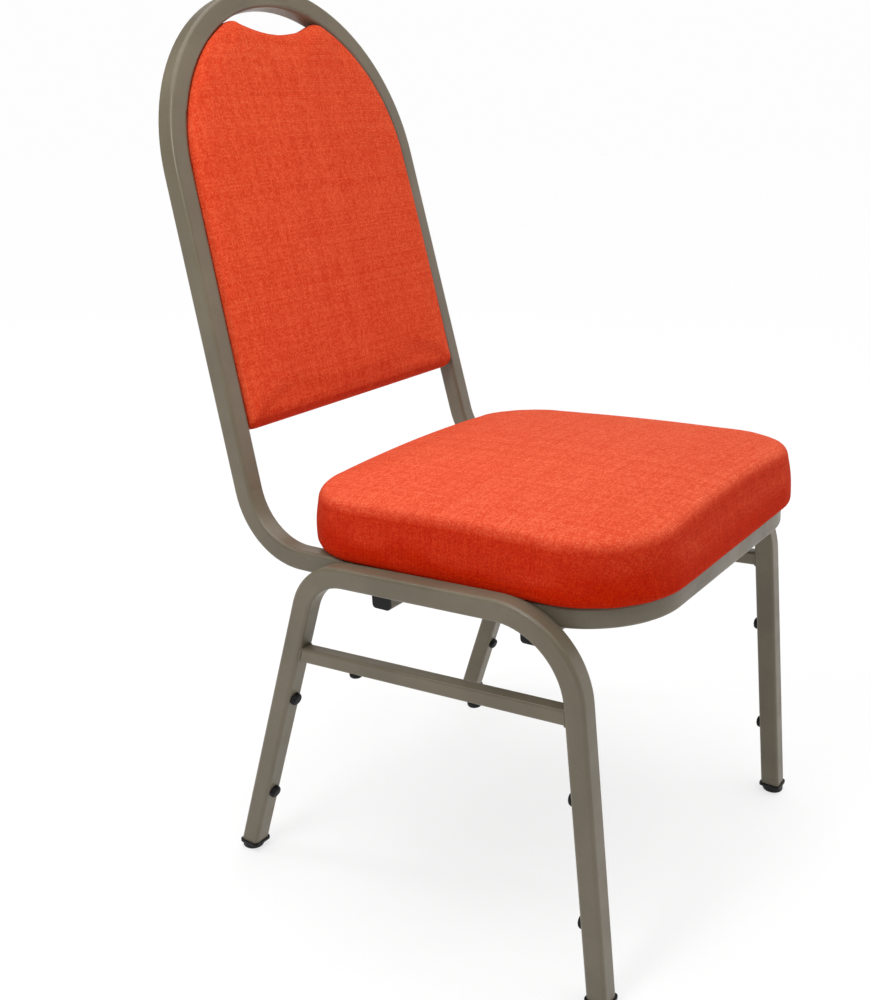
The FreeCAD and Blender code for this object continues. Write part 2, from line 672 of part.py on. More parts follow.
def all_pieces():
    """Every node of the chair by name, laid out about the middle of the feet."""
    pieces = {}
    for name, side in SIDES.items():
        x = side * LEG_PLANE_X
        pieces[f"leg_frame_{name}"] = leg_frame(x)
        pieces[f"side_stretcher_{name}"] = side_stretcher(x)
        pieces[f"glide_front_{name}"] = glide(x, front_leg_y(0), FRONT_LEG_LEAN)
        pieces[f"glide_rear_{name}"] = glide(x, rear_leg_y(0), -REAR_LEG_LEAN)
        for leg in ("front", "rear"):
            bumpers = [bumper(place, out) for place, out, which in leg_bumper_places(x) if which == leg]
            pieces[f"{leg}_leg_bumpers_{name}"] = Part.makeCompound(bumpers)
        under = [bumper(place, out) for place, out in stretcher_bumper_places(x)]
        pieces[f"stretcher_bumpers_{name}"] = Part.makeCompound(under)
    pieces["seat_rail"] = seat_rail()
    pieces["back_hoop"] = back_hoop()
    for name, y in CROSS_TUBE_YS.items():
        pieces[f"cross_tube_{name}"] = cross_tube(y)
    pieces["cross_tube_end_plugs"] = end_plugs()
    pieces["seat_board"] = seat_board()
    pieces["seat_cushion"] = seat_cushion()
    pieces["seat_dust_cover"] = seat_dust_cover()
    pieces["seat_fixing_tabs"] = seat_fixing_tabs()
    pieces["seat_screws"] = seat_screws()
    pieces["back_board"] = back_board()
    pieces["back_cushion"] = back_cushion()
    pieces["rear_cover"] = rear_cover()
    pieces["back_fixing_tabs"] = back_fixing_tabs()
    pieces["back_screws"] = back_screws()
    return pieces


def export(pieces):
    """Writes one STEP file for each node, with the origin at the chair's bottom centre."""
    whole = Part.makeCompound(list(pieces.values())).optimalBoundingBox(False)
    to_origin = Vector(-whole.Center.x, -whole.Center.y, -whole.ZMin)
    os.makedirs("parts", exist_ok=True)
    for name, shape in pieces.items():
        moved = placed(shape, FreeCAD.Placement(to_origin, FreeCAD.Rotation()))
        moved.exportStep(f"parts/{name}.step")
        print(name, len(moved.Solids), "solids", round(moved.Volume), "mm3", "valid", moved.isValid())
    print("size", round(whole.XLength, 1), round(whole.YLength, 1), round(whole.ZLength, 1))
    print("moved by", round(to_origin.x, 3), round(to_origin.y, 3), round(to_origin.z, 3))


export(all_pieces())
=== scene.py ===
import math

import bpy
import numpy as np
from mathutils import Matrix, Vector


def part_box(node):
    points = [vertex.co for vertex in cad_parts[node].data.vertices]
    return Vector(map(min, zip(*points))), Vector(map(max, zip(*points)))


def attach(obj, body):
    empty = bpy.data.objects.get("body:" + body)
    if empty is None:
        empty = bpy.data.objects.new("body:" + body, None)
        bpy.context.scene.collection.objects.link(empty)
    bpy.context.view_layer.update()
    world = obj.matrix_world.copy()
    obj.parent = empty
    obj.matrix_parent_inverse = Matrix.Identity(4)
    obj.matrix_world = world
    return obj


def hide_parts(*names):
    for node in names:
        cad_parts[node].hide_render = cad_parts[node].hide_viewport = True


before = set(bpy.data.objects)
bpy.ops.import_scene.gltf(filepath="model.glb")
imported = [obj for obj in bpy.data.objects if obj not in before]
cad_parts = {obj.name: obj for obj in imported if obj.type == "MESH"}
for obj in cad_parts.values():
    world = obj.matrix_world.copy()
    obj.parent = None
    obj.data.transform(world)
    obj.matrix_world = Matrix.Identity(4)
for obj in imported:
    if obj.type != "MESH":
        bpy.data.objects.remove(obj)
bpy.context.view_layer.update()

# A stacking chair. Metres, +Z up, front towards -Y; right is the sitter's right, -X.
# The steel frame, the boards and the plastic parts are the CAD nodes, with materials. The seat pad, the
# back pad, the rear panel, the dust cover with its staples, the weld beads and the seat's screws are
# built here, in the CAD's own places.

BODY = "root"

# ------------ the chair's own planes, as in the CAD

TUBE = 0.022
SEAT_HEIGHT = 0.3752
SEAT_ANGLE = math.atan(0.0514)
CROSS_TUBE_ALONG = -0.131
CROSS_TUBE_DROP = 0.022
BACK_FOOT_Y = 0.1126
BACK_ANGLE = math.atan(0.2572)
PAD_BASE = 0.0112

# Seat pad
SEAT_FRONT = -0.238
SEAT_REAR = 0.154
SEAT_FRONT_HALF = 0.214
SEAT_REAR_HALF = 0.213
SEAT_FRONT_CORNER = 0.084
SEAT_REAR_CORNER = 0.078
SEAT_TOP = 0.0843
SEAT_CROWN_ACROSS = 2.1
SEAT_CROWN_ALONG = 3.4

# Back pad
HOOP_CENTRE_UP = 0.7586
HOOP_RADIUS = 0.1844
POST_SPREAD = math.radians(2.31)
BACK_EDGE_INSET = 0.0115
BACK_BOTTOM_UP = 0.499
BACK_FRONT = 0.0205
BACK_CROWN_RADIUS = 8.0
BACK_CROWN_UP = 0.640
HANDLE_DIP_UP = 0.902
HANDLE_HALF = 0.068
HANDLE_RISE = 0.017
BOARD_REAR = -0.005
COVER_REAR = -0.015


def centre_of(node):
    low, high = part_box(node)
    return (Vector(low) + Vector(high)) / 2


# Where the CAD's construction origin, midway between the feet, lies along Y
FEET_Y = centre_of("cross_tube_front").y - (
    CROSS_TUBE_ALONG * math.cos(SEAT_ANGLE) - CROSS_TUBE_DROP * math.sin(SEAT_ANGLE)
)


def plane_matrix(origin, along, out):
    """Matrix from a local frame (x, along, out) to the chair's."""
    return Matrix(
        (
            (1.0, along[0], out[0], origin[0]),
            (0.0, along[1], out[1], origin[1]),
            (0.0, along[2], out[2], origin[2]),
            (0.0, 0.0, 0.0, 1.0),
        )
    )


SEAT_PLANE = plane_matrix(
    (0.0, FEET_Y, SEAT_HEIGHT),
    (0.0, math.cos(SEAT_ANGLE), -math.sin(SEAT_ANGLE)),
    (0.0, math.sin(SEAT_ANGLE), math.cos(SEAT_ANGLE)),
)
BACK_PLANE = plane_matrix(
    (0.0, FEET_Y + BACK_FOOT_Y, 0.0),
    (0.0, math.sin(BACK_ANGLE), math.cos(BACK_ANGLE)),
    (0.0, -math.cos(BACK_ANGLE), math.sin(BACK_ANGLE)),
)

# ------------ outlines


def resample(line, cells):
    """cells + 1 points at equal distances along a polyline."""
    line = np.asarray(line, float)
    steps = np.linalg.norm(np.diff(line, axis=0), axis=1)
    keep = np.concatenate([[True], steps > 1e-9])
    line = line[keep]
    along = np.concatenate([[0.0], np.cumsum(steps[steps > 1e-9])])
    wanted = np.linspace(0.0, along[-1], cells + 1)
    return np.stack([np.interp(wanted, along, line[:, i]) for i in range(2)], axis=1)


def arc(centre, radius, start, end, steps=64):
    angles = np.linspace(start, end, steps + 1)
    return np.stack([centre[0] + radius * np.cos(angles), centre[1] + radius * np.sin(angles)], axis=1)


def rounded_corner(before, corner, after, radius, steps=48):
    """The arc that rounds a corner of a polygon, as points in order."""
    before, corner, after = (np.asarray(p, float) for p in (before, corner, after))
    back = (before - corner) / np.linalg.norm(before - corner)
    ahead = (after - corner) / np.linalg.norm(after - corner)
    half = math.acos(float(np.clip(back @ ahead, -1, 1))) / 2
    middle = back + ahead
    centre = corner + middle / np.linalg.norm(middle) * radius / math.sin(half)
    first = corner + back * radius / math.tan(half)
    last = corner + ahead * radius / math.tan(half)
    start = math.atan2(*(first - centre)[::-1])
    turn = math.atan2(*(last - centre)[::-1]) - start
    turn = (turn + math.pi) % (2 * math.pi) - math.pi
    return arc(centre, radius, start, start + turn, steps)


def softened(line_a, line_b, cut, steps=16):
    """Two polylines that meet in a corner, which a curve from cut before to cut after replaces."""

    def trimmed(line, amount, from_end):
        line = np.asarray(line)[::-1] if from_end else np.asarray(line)
        along = np.concatenate([[0.0], np.cumsum(np.linalg.norm(np.diff(line, axis=0), axis=1))])
        first = np.array([np.interp(amount, along, line[:, i]) for i in range(2)])
        rest = line[along > amount + 1e-6]
        line = np.vstack([first, rest])
        return line[::-1] if from_end else line

    corner = np.asarray(line_b)[0]
    a = trimmed(line_a, cut, True)
    b = trimmed(line_b, cut, False)
    t = np.linspace(0, 1, steps + 1)[:, None]
    curve = (1 - t) ** 2 * a[-1] + 2 * t * (1 - t) * corner + t**2 * b[0]
    half = steps // 2
    return np.vstack([a[:-1], curve[: half + 1]]), np.vstack([curve[half:], b[1:]])


class Outline:
    """A closed outline made of four stretches, anticlockwise seen from outside, and its grid of cells."""

    def __init__(self, stretches, across, along):
        self.across, self.along = across, along
        cells = (across, along, across, along)
        self.points = np.vstack([resample(s, c)[:-1] for s, c in zip(stretches, cells)])
        ahead = np.roll(self.points, -1, axis=0) - np.roll(self.points, 1, axis=0)
        normals = np.stack([ahead[:, 1], -ahead[:, 0]], axis=1)
        self.normals = normals / np.linalg.norm(normals, axis=1)[:, None]

    def ring(self, inset):
        """The outline drawn in by inset, which may be one number or one for each point."""
        return self.points - self.normals * np.reshape(inset, (-1, 1))

    def grid(self, ring):
        """Points inside a ring, by transfinite interpolation, as an (along + 1, across + 1, 2) array."""
        n, m = self.across, self.along
        bottom = ring[0 : n + 1]
        right = ring[n : n + m + 1]
        top = ring[n + m : 2 * n + m + 1][::-1]
        left = np.vstack([ring[2 * n + m :], ring[:1]])[::-1]
        u = np.linspace(0, 1, n + 1)[None, :, None]
        v = np.linspace(0, 1, m + 1)[:, None, None]
        blend = (1 - v) * bottom[None] + v * top[None] + (1 - u) * left[:, None] + u * right[:, None]
        corners = (
            (1 - u) * (1 - v) * bottom[0]
            + u * (1 - v) * bottom[-1]
            + (1 - u) * v * top[0]
            + u * v * top[-1]
        )
        return blend - corners

    def grid_ids(self, first_inner, ring_start):
        """Vertex numbers of that grid: the ring's own round the edge, new ones from first_inner inside."""
        n, m = self.across, self.along
        count = 2 * (n + m)
        ids = np.zeros((m + 1, n + 1), int)
        ring = ring_start + np.arange(count + 1) % count
        ids[0, :] = ring[0 : n + 1]
        ids[:, n] = ring[n : n + m + 1]
        ids[m, :] = ring[n + m : 2 * n + m + 1][::-1]
        ids[:, 0] = ring[2 * n + m : count + 1][::-1]
        ids[1:m, 1:n] = first_inner + np.arange((m - 1) * (n - 1)).reshape(m - 1, n - 1)
        return ids


def seat_outline(across=56, along=54):
    corners = [
        (-SEAT_FRONT_HALF, SEAT_FRONT),
        (SEAT_FRONT_HALF, SEAT_FRONT),
        (SEAT_REAR_HALF, SEAT_REAR),
        (-SEAT_REAR_HALF, SEAT_REAR),
    ]
    radii = [SEAT_FRONT_CORNER, SEAT_FRONT_CORNER, SEAT_REAR_CORNER, SEAT_REAR_CORNER]
    arcs = [
        rounded_corner(corners[i - 1], corners[i], corners[(i + 1) % 4], radii[i]) for i in range(4)
    ]
    stretches = []
    for i in range(4):
        here, there = arcs[i], arcs[(i + 1) % 4]
        stretches.append(np.vstack([here[len(here) // 2 :], there[: len(there) // 2 + 1]]))
    return Outline(stretches, across, along)


def post_x(up, inset):
    tangent_x = (HOOP_RADIUS - inset) * math.cos(POST_SPREAD)
    tangent_up = HOOP_CENTRE_UP + (HOOP_RADIUS - inset) * math.sin(POST_SPREAD)
    return tangent_x + (tangent_up - up) * math.tan(POST_SPREAD)


def back_outline(inset, bottom_corner, shoulder_cut, across=46, along=62):
    """The hoop's inside drawn in by inset, with a flat bottom and a dip for the handle at the top."""
    edge = BACK_EDGE_INSET + inset
    radius = HOOP_RADIUS - edge
    bottom = BACK_BOTTOM_UP + inset
    bottom_x = post_x(bottom, edge)
    dip_radius = (HANDLE_HALF**2 + HANDLE_RISE**2) / (2 * HANDLE_RISE)
    dip_centre = HANDLE_DIP_UP - inset + dip_radius - HOOP_CENTRE_UP
    meet_up = (radius**2 - dip_radius**2 + dip_centre**2) / (2 * dip_centre)
    meet_x = math.sqrt(radius**2 - meet_up**2)
    side_end = math.atan2(meet_up, meet_x)
    dip_angle = math.asin(meet_x / dip_radius)
    centre = (0.0, HOOP_CENTRE_UP)
    tangent = (radius * math.cos(POST_SPREAD), HOOP_CENTRE_UP + radius * math.sin(POST_SPREAD))
    left_corner = rounded_corner((-bottom_x, bottom), (bottom_x, bottom), tangent, bottom_corner)
    right_corner = left_corner[::-1] * (-1, 1)
    half = len(left_corner) // 2
    floor_line = np.vstack([right_corner[half:], left_corner[: half + 1]])
    left_side = np.vstack([left_corner[half:], arc(centre, radius, POST_SPREAD, side_end)])
    dip = arc(
        (0.0, HOOP_CENTRE_UP + dip_centre), dip_radius, -math.pi / 2 + dip_angle, -math.pi / 2 - dip_angle
    )
    left_side, dip = softened(left_side, dip, shoulder_cut)
    dip, right_side = softened(dip, left_side_mirror(left_side, dip), shoulder_cut)
    return Outline([floor_line, left_side, dip, right_side], across, along)


def left_side_mirror(left_side, dip):
    """The sitter's right side: the left one mirrored, from the dip's end down to the bottom corner."""
    mirrored = left_side[::-1] * (-1, 1)
    keep = mirrored[:, 1] <= dip[-1][1] + 1e-9
    outside = np.abs(mirrored[:, 0]) >= abs(dip[-1][0]) - 1e-9
    return np.vstack([dip[-1], mirrored[keep & outside]])


# ------------ meshes and padded forms


def linked(name, data):
    """A new object of a mesh, light or camera, in the scene."""
    thing = bpy.data.objects.new(name, data)
    bpy.context.collection.objects.link(thing)
    return thing


def mesh_of(name, positions, faces, smooth=True):
    mesh = bpy.data.meshes.new(name)
    mesh.from_pydata([tuple(p) for p in positions], [], faces)
    mesh.polygons.foreach_set("use_smooth", [smooth] * len(mesh.polygons))
    mesh.update()
    return mesh


def shell(name, outline, rings, front_height, rear_height, plane):
    """A closed form from rings, each (ring points, heights, cloth distance past the first ring).

    The first ring is closed by a front grid at front_height, the last by a rear grid at rear_height. Each
    is a function of points, or a number. The UV map "Cloth" holds where each point lies on the flat
    cloth, in metres: the cloth is flat over the front and folds down over the edge.
    """
    count = len(outline.points)
    positions, cloth, faces = [], [], []
    first = rings[0][0]
    for points, heights, past in rings:
        heights = np.broadcast_to(heights, (count,))
        positions.append(np.column_stack([points, heights]))
        cloth.append(first + outline.normals * past)
    total = count * len(rings)
    around = np.arange(count)
    nxt = (around + 1) % count
    for k in range(len(rings) - 1):
        a, b = k * count, (k + 1) * count
        faces += np.stack([a + around, b + around, b + nxt, a + nxt], axis=1).tolist()

    def cap(ring_index, height_of, flip):
        nonlocal total
        ring = rings[ring_index][0]
        grid = outline.grid(ring)
        ids = outline.grid_ids(total, ring_index * count)
        inner = grid[1:-1, 1:-1].reshape(-1, 2)
        heights = height_of(inner) if callable(height_of) else np.full(len(inner), height_of)
        positions.append(np.column_stack([inner, heights]))
        cloth.append(inner)
        total += len(inner)
        quads = np.stack([ids[:-1, :-1], ids[:-1, 1:], ids[1:, 1:], ids[1:, :-1]], axis=-1).reshape(-1, 4)
        return (quads[:, ::-1] if flip else quads).tolist()

    faces += cap(0, front_height, False)
    faces += cap(len(rings) - 1, rear_height, True)
    positions, cloth = np.vstack(positions), np.vstack(cloth)
    mesh = mesh_of(name, positions.tolist(), faces)
    mesh.transform(plane)
    layer = mesh.uv_layers.new(name="Cloth")
    corner_vertices = np.empty(len(mesh.loops), dtype=np.int32)
    mesh.loops.foreach_get("vertex_index", corner_vertices)
    layer.data.foreach_set("uv", cloth[corner_vertices].astype(np.float32).ravel())
    mesh.update()
    return linked(name, mesh)


class Profile:
    """The rings of a padded form, each its outline drawn in by an inset, at given heights."""

    def __init__(self, outline):
        self.outline, self.rings, self.steps = outline, [], []

    def add(self, inset, heights):
        """One more ring. heights is one number, one for each point, or a function of the points."""
        points = self.outline.ring(inset)
        heights = heights(points) if callable(heights) else heights
        self.rings.append((points, heights))
        self.steps.append((float(np.mean(inset)), float(np.mean(heights))))

    def closed(self, name, front_height, rear_height, plane, from_rear=False):
        """The closed form. Its cloth is measured from the first ring, or from the last one."""
        past = np.concatenate([[0.0], np.cumsum(np.linalg.norm(np.diff(self.steps, axis=0), axis=1))])
        past = past[-1] - past if from_rear else past
        rings = [(*ring, distance) for ring, distance in zip(self.rings, past)]
        return shell(name, self.outline, rings, front_height, rear_height, plane)


def coordinates(mesh):
    flat = np.empty(len(mesh.vertices) * 3, dtype=np.float32)
    mesh.vertices.foreach_get("co", flat)
    return flat.reshape(-1, 3).astype(float)


CLOTH_FRAMES = 20
CLOTH_SETTINGS = {
    "quality": 6,
    "mass": 0.3,
    "tension_stiffness": 25,
    "compression_stiffness": 25,
    "shear_stiffness": 15,
    "bending_stiffness": 2,
    "use_pressure": True,
}


def inflate(piece, plane, held_below, pressure, most):
    """A short cloth simulation with air pressure inside. No point ends further than most from its start.

    The board holds every vertex that is less than held_below over the plane.
    """
    scene = bpy.context.scene
    start = coordinates(piece.data)
    turn = np.array(plane.to_3x3())
    held = (start @ turn)[:, 2] - (np.array(plane.translation) @ turn)[2] < held_below
    group = piece.vertex_groups.new(name="held")
    group.add([int(i) for i in np.flatnonzero(held)], 1.0, "REPLACE")
    cloth = piece.modifiers.new("Inflate", "CLOTH")
    settings = cloth.settings
    for name, value in CLOTH_SETTINGS.items():
        setattr(settings, name, value)
    settings.uniform_pressure_force = pressure
    settings.effector_weights.gravity = 0
    settings.vertex_group_mass = "held"
    cloth.collision_settings.use_collision = False
    cloth.point_cache.frame_start = 1
    cloth.point_cache.frame_end = CLOTH_FRAMES
    for number in range(1, CLOTH_FRAMES + 1):
        scene.frame_set(number)
    depsgraph = bpy.context.evaluated_depsgraph_get()
    moved = coordinates(piece.evaluated_get(depsgraph).data)
    piece.modifiers.remove(cloth)
    piece.vertex_groups.remove(group)
    scene.frame_set(1)
    travel = moved - start
    length = np.linalg.norm(travel, axis=1)
    scale = np.minimum(1.0, most / np.maximum(length, 1e-9))
    mean, furthest = length.mean() * 1000, length.max() * 1000
    print(f"{piece.name} cloth travel mm: mean {mean:.2f} max {furthest:.2f}")
    final = (start + travel * scale[:, None]).astype(np.float32)
    piece.data.vertices.foreach_set("co", final.ravel())
    piece.data.update()


SEAT_PRESSURE = 3.0
SEAT_SWELL = 0.0015
SEAT_HELD = 0.0015
BACK_PRESSURE = 3.0
BACK_SWELL = 0.0015
BACK_HELD = 0.012


def add_subdivision(piece):
    smooth = piece.modifiers.new("Smooth", "SUBSURF")
    smooth.levels = smooth.render_levels = 1
    smooth.uv_smooth = "PRESERVE_BOUNDARIES"


# ------------ node helpers


class Nodes:
    """Short names for building a material's node tree."""

    def __init__(self, name):
        self.material = bpy.data.materials.new(name)
        self.material.use_nodes = True
        self.tree = self.material.node_tree
        self.tree.nodes.clear()
        self.shader = self.tree.nodes.new("ShaderNodeBsdfPrincipled")
        output = self.tree.nodes.new("ShaderNodeOutputMaterial")
        self.link(self.shader.outputs[0], output.inputs["Surface"])

    def link(self, source, target):
        self.tree.links.new(source, target)

    def put(self, value, socket):
        if isinstance(value, bpy.types.NodeSocket):
            self.link(value, socket)
        elif value is not None:
            socket.default_value = value

    def node(self, kind, values, output=0, **settings):
        """An output of a new node. values gives its inputs, by number or name."""
        node = self.tree.nodes.new("ShaderNode" + kind)
        for name, setting in settings.items():
            setattr(node, name, setting)
        for socket, value in values.items():
            self.put(value, node.inputs[socket])
        return node.outputs[output]

    def math(self, operation, *values):
        return self.node("Math", dict(enumerate(values)), operation=operation)

    def weighted(self, *shares):
        """The sum of values, each times its weight."""
        parts = [self.math("MULTIPLY", value, weight) for value, weight in shares]
        total = parts[0]
        for part in parts[1:]:
            total = self.math("ADD", total, part)
        return total

    def scaled(self, vector, factor):
        return self.node("VectorMath", {0: vector, "Scale": factor}, operation="SCALE")

    def split(self, vector):
        node = self.tree.nodes.new("ShaderNodeSeparateXYZ")
        self.link(vector, node.inputs[0])
        return node.outputs

    def join(self, x, y, z=0.0):
        return self.node("CombineXYZ", {0: x, 1: y, 2: z})

    def place(self):
        """Object coordinates, which are the chair's own, in metres."""
        return self.node("TexCoord", {}, "Object")

    def cloth(self):
        return self.node("UVMap", {}, uv_map="Cloth")

    def noise(self, vector, scale, detail=2.0, roughness=0.5):
        values = {"Vector": vector, "Scale": scale, "Detail": detail, "Roughness": roughness}
        return self.node("TexNoise", values)

    def voronoi(self, vector, scale):
        return self.node("TexVoronoi", {"Vector": vector, "Scale": scale}, "Distance")

    def random(self, vector):
        return self.node("TexWhiteNoise", {"Vector": vector}, "Value", noise_dimensions="3D")

    def ranged(self, value, low, high, from_low=0.0, from_high=1.0):
        return self.node("MapRange", dict(enumerate((value, from_low, from_high, low, high))))

    def mix(self, factor, first, second, mode="MIX"):
        values = {"Factor": factor, 6: first, 7: second}
        return self.node("Mix", values, 2, data_type="RGBA", blend_type=mode)

    def number_mix(self, factor, first, second):
        return self.node("Mix", {0: factor, 2: first, 3: second}, data_type="FLOAT")

    def ramp(self, factor, stops):
        node = self.tree.nodes.new("ShaderNodeValToRGB")
        self.link(factor, node.inputs[0])
        elements = node.color_ramp.elements
        for index, (position, colour) in enumerate(stops):
            element = elements[index] if index < 2 else elements.new(position)
            element.position = position
            element.color = colour
        return node.outputs[0]

    def bump(self, height, distance, strength=1.0, normal=None):
        values = {"Strength": strength, "Distance": distance, "Height": height, "Normal": normal}
        return self.node("Bump", values)

    def set(self, **values):
        for name, value in values.items():
            self.put(value, self.shader.inputs[name.replace("_", " ")])


def rgb(red, green, blue):
    return (red, green, blue, 1.0)


def grey(value):
    return rgb(value, value, value)


# ------------ materials

WEAVE_PITCH = 0.0019
# How far a thread wanders from its straight line, in pitches
THREAD_SWAY = 0.8
FABRIC_LIGHT = rgb(0.99, 0.085, 0.017)
FABRIC_DARK = rgb(0.76, 0.031, 0.005)
# Painted light and shade on the cloth: tints of cloth that faces down or sideways (painted shade) and of
# cloth that faces up (painted light), and the normals' z where one starts to pass into the other and where
# it ends
SEAT_PAINTED_LIGHT_TINTS = (rgb(0.64, 0.33, 0.07), rgb(0.87, 2.02, 4.8), 0.05, 0.90)
BACK_PAINTED_LIGHT_TINTS = (rgb(0.70, 0.70, 0.90), rgb(0.85, 1.54, 2.9), -0.50, 0.20)


def fabric_material(name, painted_shade_tint, painted_light_tint, tint_from, tint_to):
    """Plain weave of thick orange-red threads: each thread passes over and under its neighbours."""
    m = Nodes(name)
    flat = m.scaled(m.cloth(), 1.0 / WEAVE_PITCH)
    wander = m.noise(m.cloth(), 240.0, 3.0, 0.6)
    x, y, _ = m.split(flat)
    x = m.math("ADD", x, m.ranged(wander, -THREAD_SWAY, THREAD_SWAY))
    y = m.math("ADD", y, m.ranged(wander, THREAD_SWAY, -THREAD_SWAY))
    column, row = m.math("FLOOR", x), m.math("FLOOR", y)
    inside_x, inside_y = m.math("FRACT", x), m.math("FRACT", y)
    arch_x = m.math("SINE", m.math("MULTIPLY", inside_x, math.pi))
    arch_y = m.math("SINE", m.math("MULTIPLY", inside_y, math.pi))
    odd = m.math("MODULO", m.math("ABSOLUTE", m.math("ADD", column, row)), 2.0)
    warp = m.math("MULTIPLY", m.math("POWER", arch_x, 0.6), m.ranged(arch_y, 0.45, 1.0))
    weft = m.math("MULTIPLY", m.math("POWER", arch_y, 0.6), m.ranged(arch_x, 0.45, 1.0))
    height = m.number_mix(odd, warp, weft)
    thread = m.number_mix(odd, m.random(m.join(column, 0.5, 7.0)), m.random(m.join(0.5, row, 3.0)))
    cell = m.random(m.join(column, row, odd))
    mottle = m.noise(m.cloth(), 120.0, 3.0, 0.6)
    patches = m.noise(m.cloth(), 28.0, 2.0, 0.5)
    tone = m.weighted((cell, 0.26), (thread, 0.20), (mottle, 0.30), (patches, 0.14))
    colour = m.mix(m.ranged(tone, 0.0, 1.0, 0.3, 0.8), FABRIC_DARK, FABRIC_LIGHT)
    # Painted light and shade: cloth that faces up is painted paler, and cloth that faces down or sideways
    # deeper
    _, _, upward = m.split(m.node("NewGeometry", {}, "Normal"))
    bloom_and_painted_light = m.ranged(upward, 0.0, 1.0, tint_from, tint_to)
    colour = m.mix(1.0, colour, m.mix(bloom_and_painted_light, painted_shade_tint, painted_light_tint), "MULTIPLY")
    # Painted shade: the weave is darker where a thread dips under its neighbour, in the hollows between
    # threads
    weave_gap_painted_shade = m.ranged(height, 0.68, 1.02, 0.0, 0.62)
    colour = m.mix(1.0, colour, m.join(weave_gap_painted_shade, weave_gap_painted_shade, weave_gap_painted_shade), "MULTIPLY")
    fuzz = m.noise(m.cloth(), 1500.0, 2.0)
    normal = m.bump(height, 0.0005, 0.55)
    normal = m.bump(fuzz, 0.00015, 0.35, normal)
    m.set(Base_Color=colour, Roughness=0.92, Normal=normal, Specular_IOR_Level=0.05)
    m.set(Sheen_Weight=0.08, Sheen_Roughness=0.35, Sheen_Tint=rgb(0.95, 0.50, 0.22))
    return m.material


def paint_material():
    """Taupe powder coat over steel tube: satin, a little orange peel, faint darker patches."""
    m = Nodes("taupe_powder_coat")
    place = m.place()
    cloud = m.noise(place, 14.0, 3.0, 0.55)
    grain = m.noise(place, 900.0, 2.0, 0.6)
    tone = m.weighted((cloud, 0.7), (grain, 0.3))
    colour = m.mix(m.ranged(tone, 0.0, 1.0, 0.35, 0.65), rgb(0.133, 0.111, 0.074), rgb(0.172, 0.144, 0.098))
    peel = m.noise(place, 650.0, 2.0, 0.5)
    handling = m.noise(place, 32.0, 4.0, 0.6)
    m.set(Base_Color=colour, Roughness=m.ranged(handling, 0.30, 0.46, 0.35, 0.7))
    m.set(Normal=m.bump(peel, 0.0003, 0.22), Specular_IOR_Level=0.4)
    return m.material


def plastic_material():
    """Moulded black plastic with a fine spark texture and dusty scuffs low down."""
    m = Nodes("black_moulded_plastic")
    place = m.place()
    spark = m.noise(place, 1600.0, 2.0, 0.6)
    scuff = m.ramp(m.noise(place, 160.0, 5.0, 0.7), [(0.55, rgb(0, 0, 0)), (0.72, rgb(1, 1, 1))])
    _, _, height = m.split(place)
    low = m.ranged(height, 1.0, 0.0, 0.0, 0.012)
    worn = m.math("MULTIPLY", m.math("MULTIPLY", scuff, low), 0.6)
    colour = m.mix(worn, rgb(0.004, 0.004, 0.0043), rgb(0.05, 0.046, 0.042))
    m.set(Specular_IOR_Level=0.25)
    m.set(Base_Color=colour, Roughness=m.ranged(spark, 0.36, 0.56), Normal=m.bump(spark, 0.0002, 0.25))
    return m.material


def rubber_material():
    m = Nodes("black_rubber")
    place = m.place()
    bloom = m.noise(place, 260.0, 4.0, 0.6)
    bloom_and_painted_light = m.ranged(bloom, 0.0, 0.7, 0.4, 0.75)
    colour = m.mix(bloom_and_painted_light, rgb(0.004, 0.004, 0.0043), rgb(0.012, 0.0115, 0.011))
    m.set(Base_Color=colour, Roughness=m.ranged(bloom, 0.5, 0.72), Specular_IOR_Level=0.25)
    m.set(Normal=m.bump(m.noise(place, 1200.0, 2.0), 0.0002, 0.2))
    return m.material


# The plies' tilt, near the seat board's own
PLY_TILT = 0.042
PLIES_PER_METRE = 380.0


def plywood_material():
    """Plywood: stretched grain on the faces, plies of two tones through the thickness."""
    m = Nodes("raw_birch_plywood")
    place = m.place()
    x, y, z = m.split(place)
    grain = m.noise(m.join(m.math("MULTIPLY", x, 90.0), m.math("MULTIPLY", y, 5.0), z), 1.0, 5.0, 0.65)
    fibre = m.noise(m.join(m.math("MULTIPLY", x, 900.0), m.math("MULTIPLY", y, 40.0), z), 1.0, 2.0)
    face = m.mix(m.ranged(grain, 0.0, 1.0, 0.3, 0.7), rgb(0.42, 0.27, 0.14), rgb(0.60, 0.43, 0.26))
    depth = m.weighted((z, 1.0), (y, PLY_TILT))
    ply = m.math("FRACT", m.math("MULTIPLY", depth, PLIES_PER_METRE))
    layered = m.mix(m.math("GREATER_THAN", ply, 0.5), face, rgb(0.34, 0.20, 0.10))
    colour = m.mix(0.35, face, layered)
    m.set(Base_Color=colour, Roughness=m.ranged(fibre, 0.6, 0.8), Normal=m.bump(fibre, 0.0003, 0.3))
    return m.material


def dust_cloth_material():
    """Black spun-bonded cloth with a pattern of small pressed dots."""
    m = Nodes("black_spunbond")
    place = m.place()
    dots = m.ranged(m.voronoi(place, 480.0), 0.0, 1.0, 0.15, 0.45)
    fibres = m.noise(place, 1400.0, 4.0, 0.7)
    colour = m.mix(m.ranged(fibres, 0.0, 1.0, 0.3, 0.7), rgb(0.010, 0.010, 0.011), rgb(0.034, 0.033, 0.034))
    normal = m.bump(dots, 0.0002, 0.5)
    m.set(Base_Color=colour, Roughness=0.85, Normal=m.bump(fibres, 0.0001, 0.4, normal))
    m.set(Sheen_Weight=0.1, Sheen_Roughness=0.5)
    return m.material


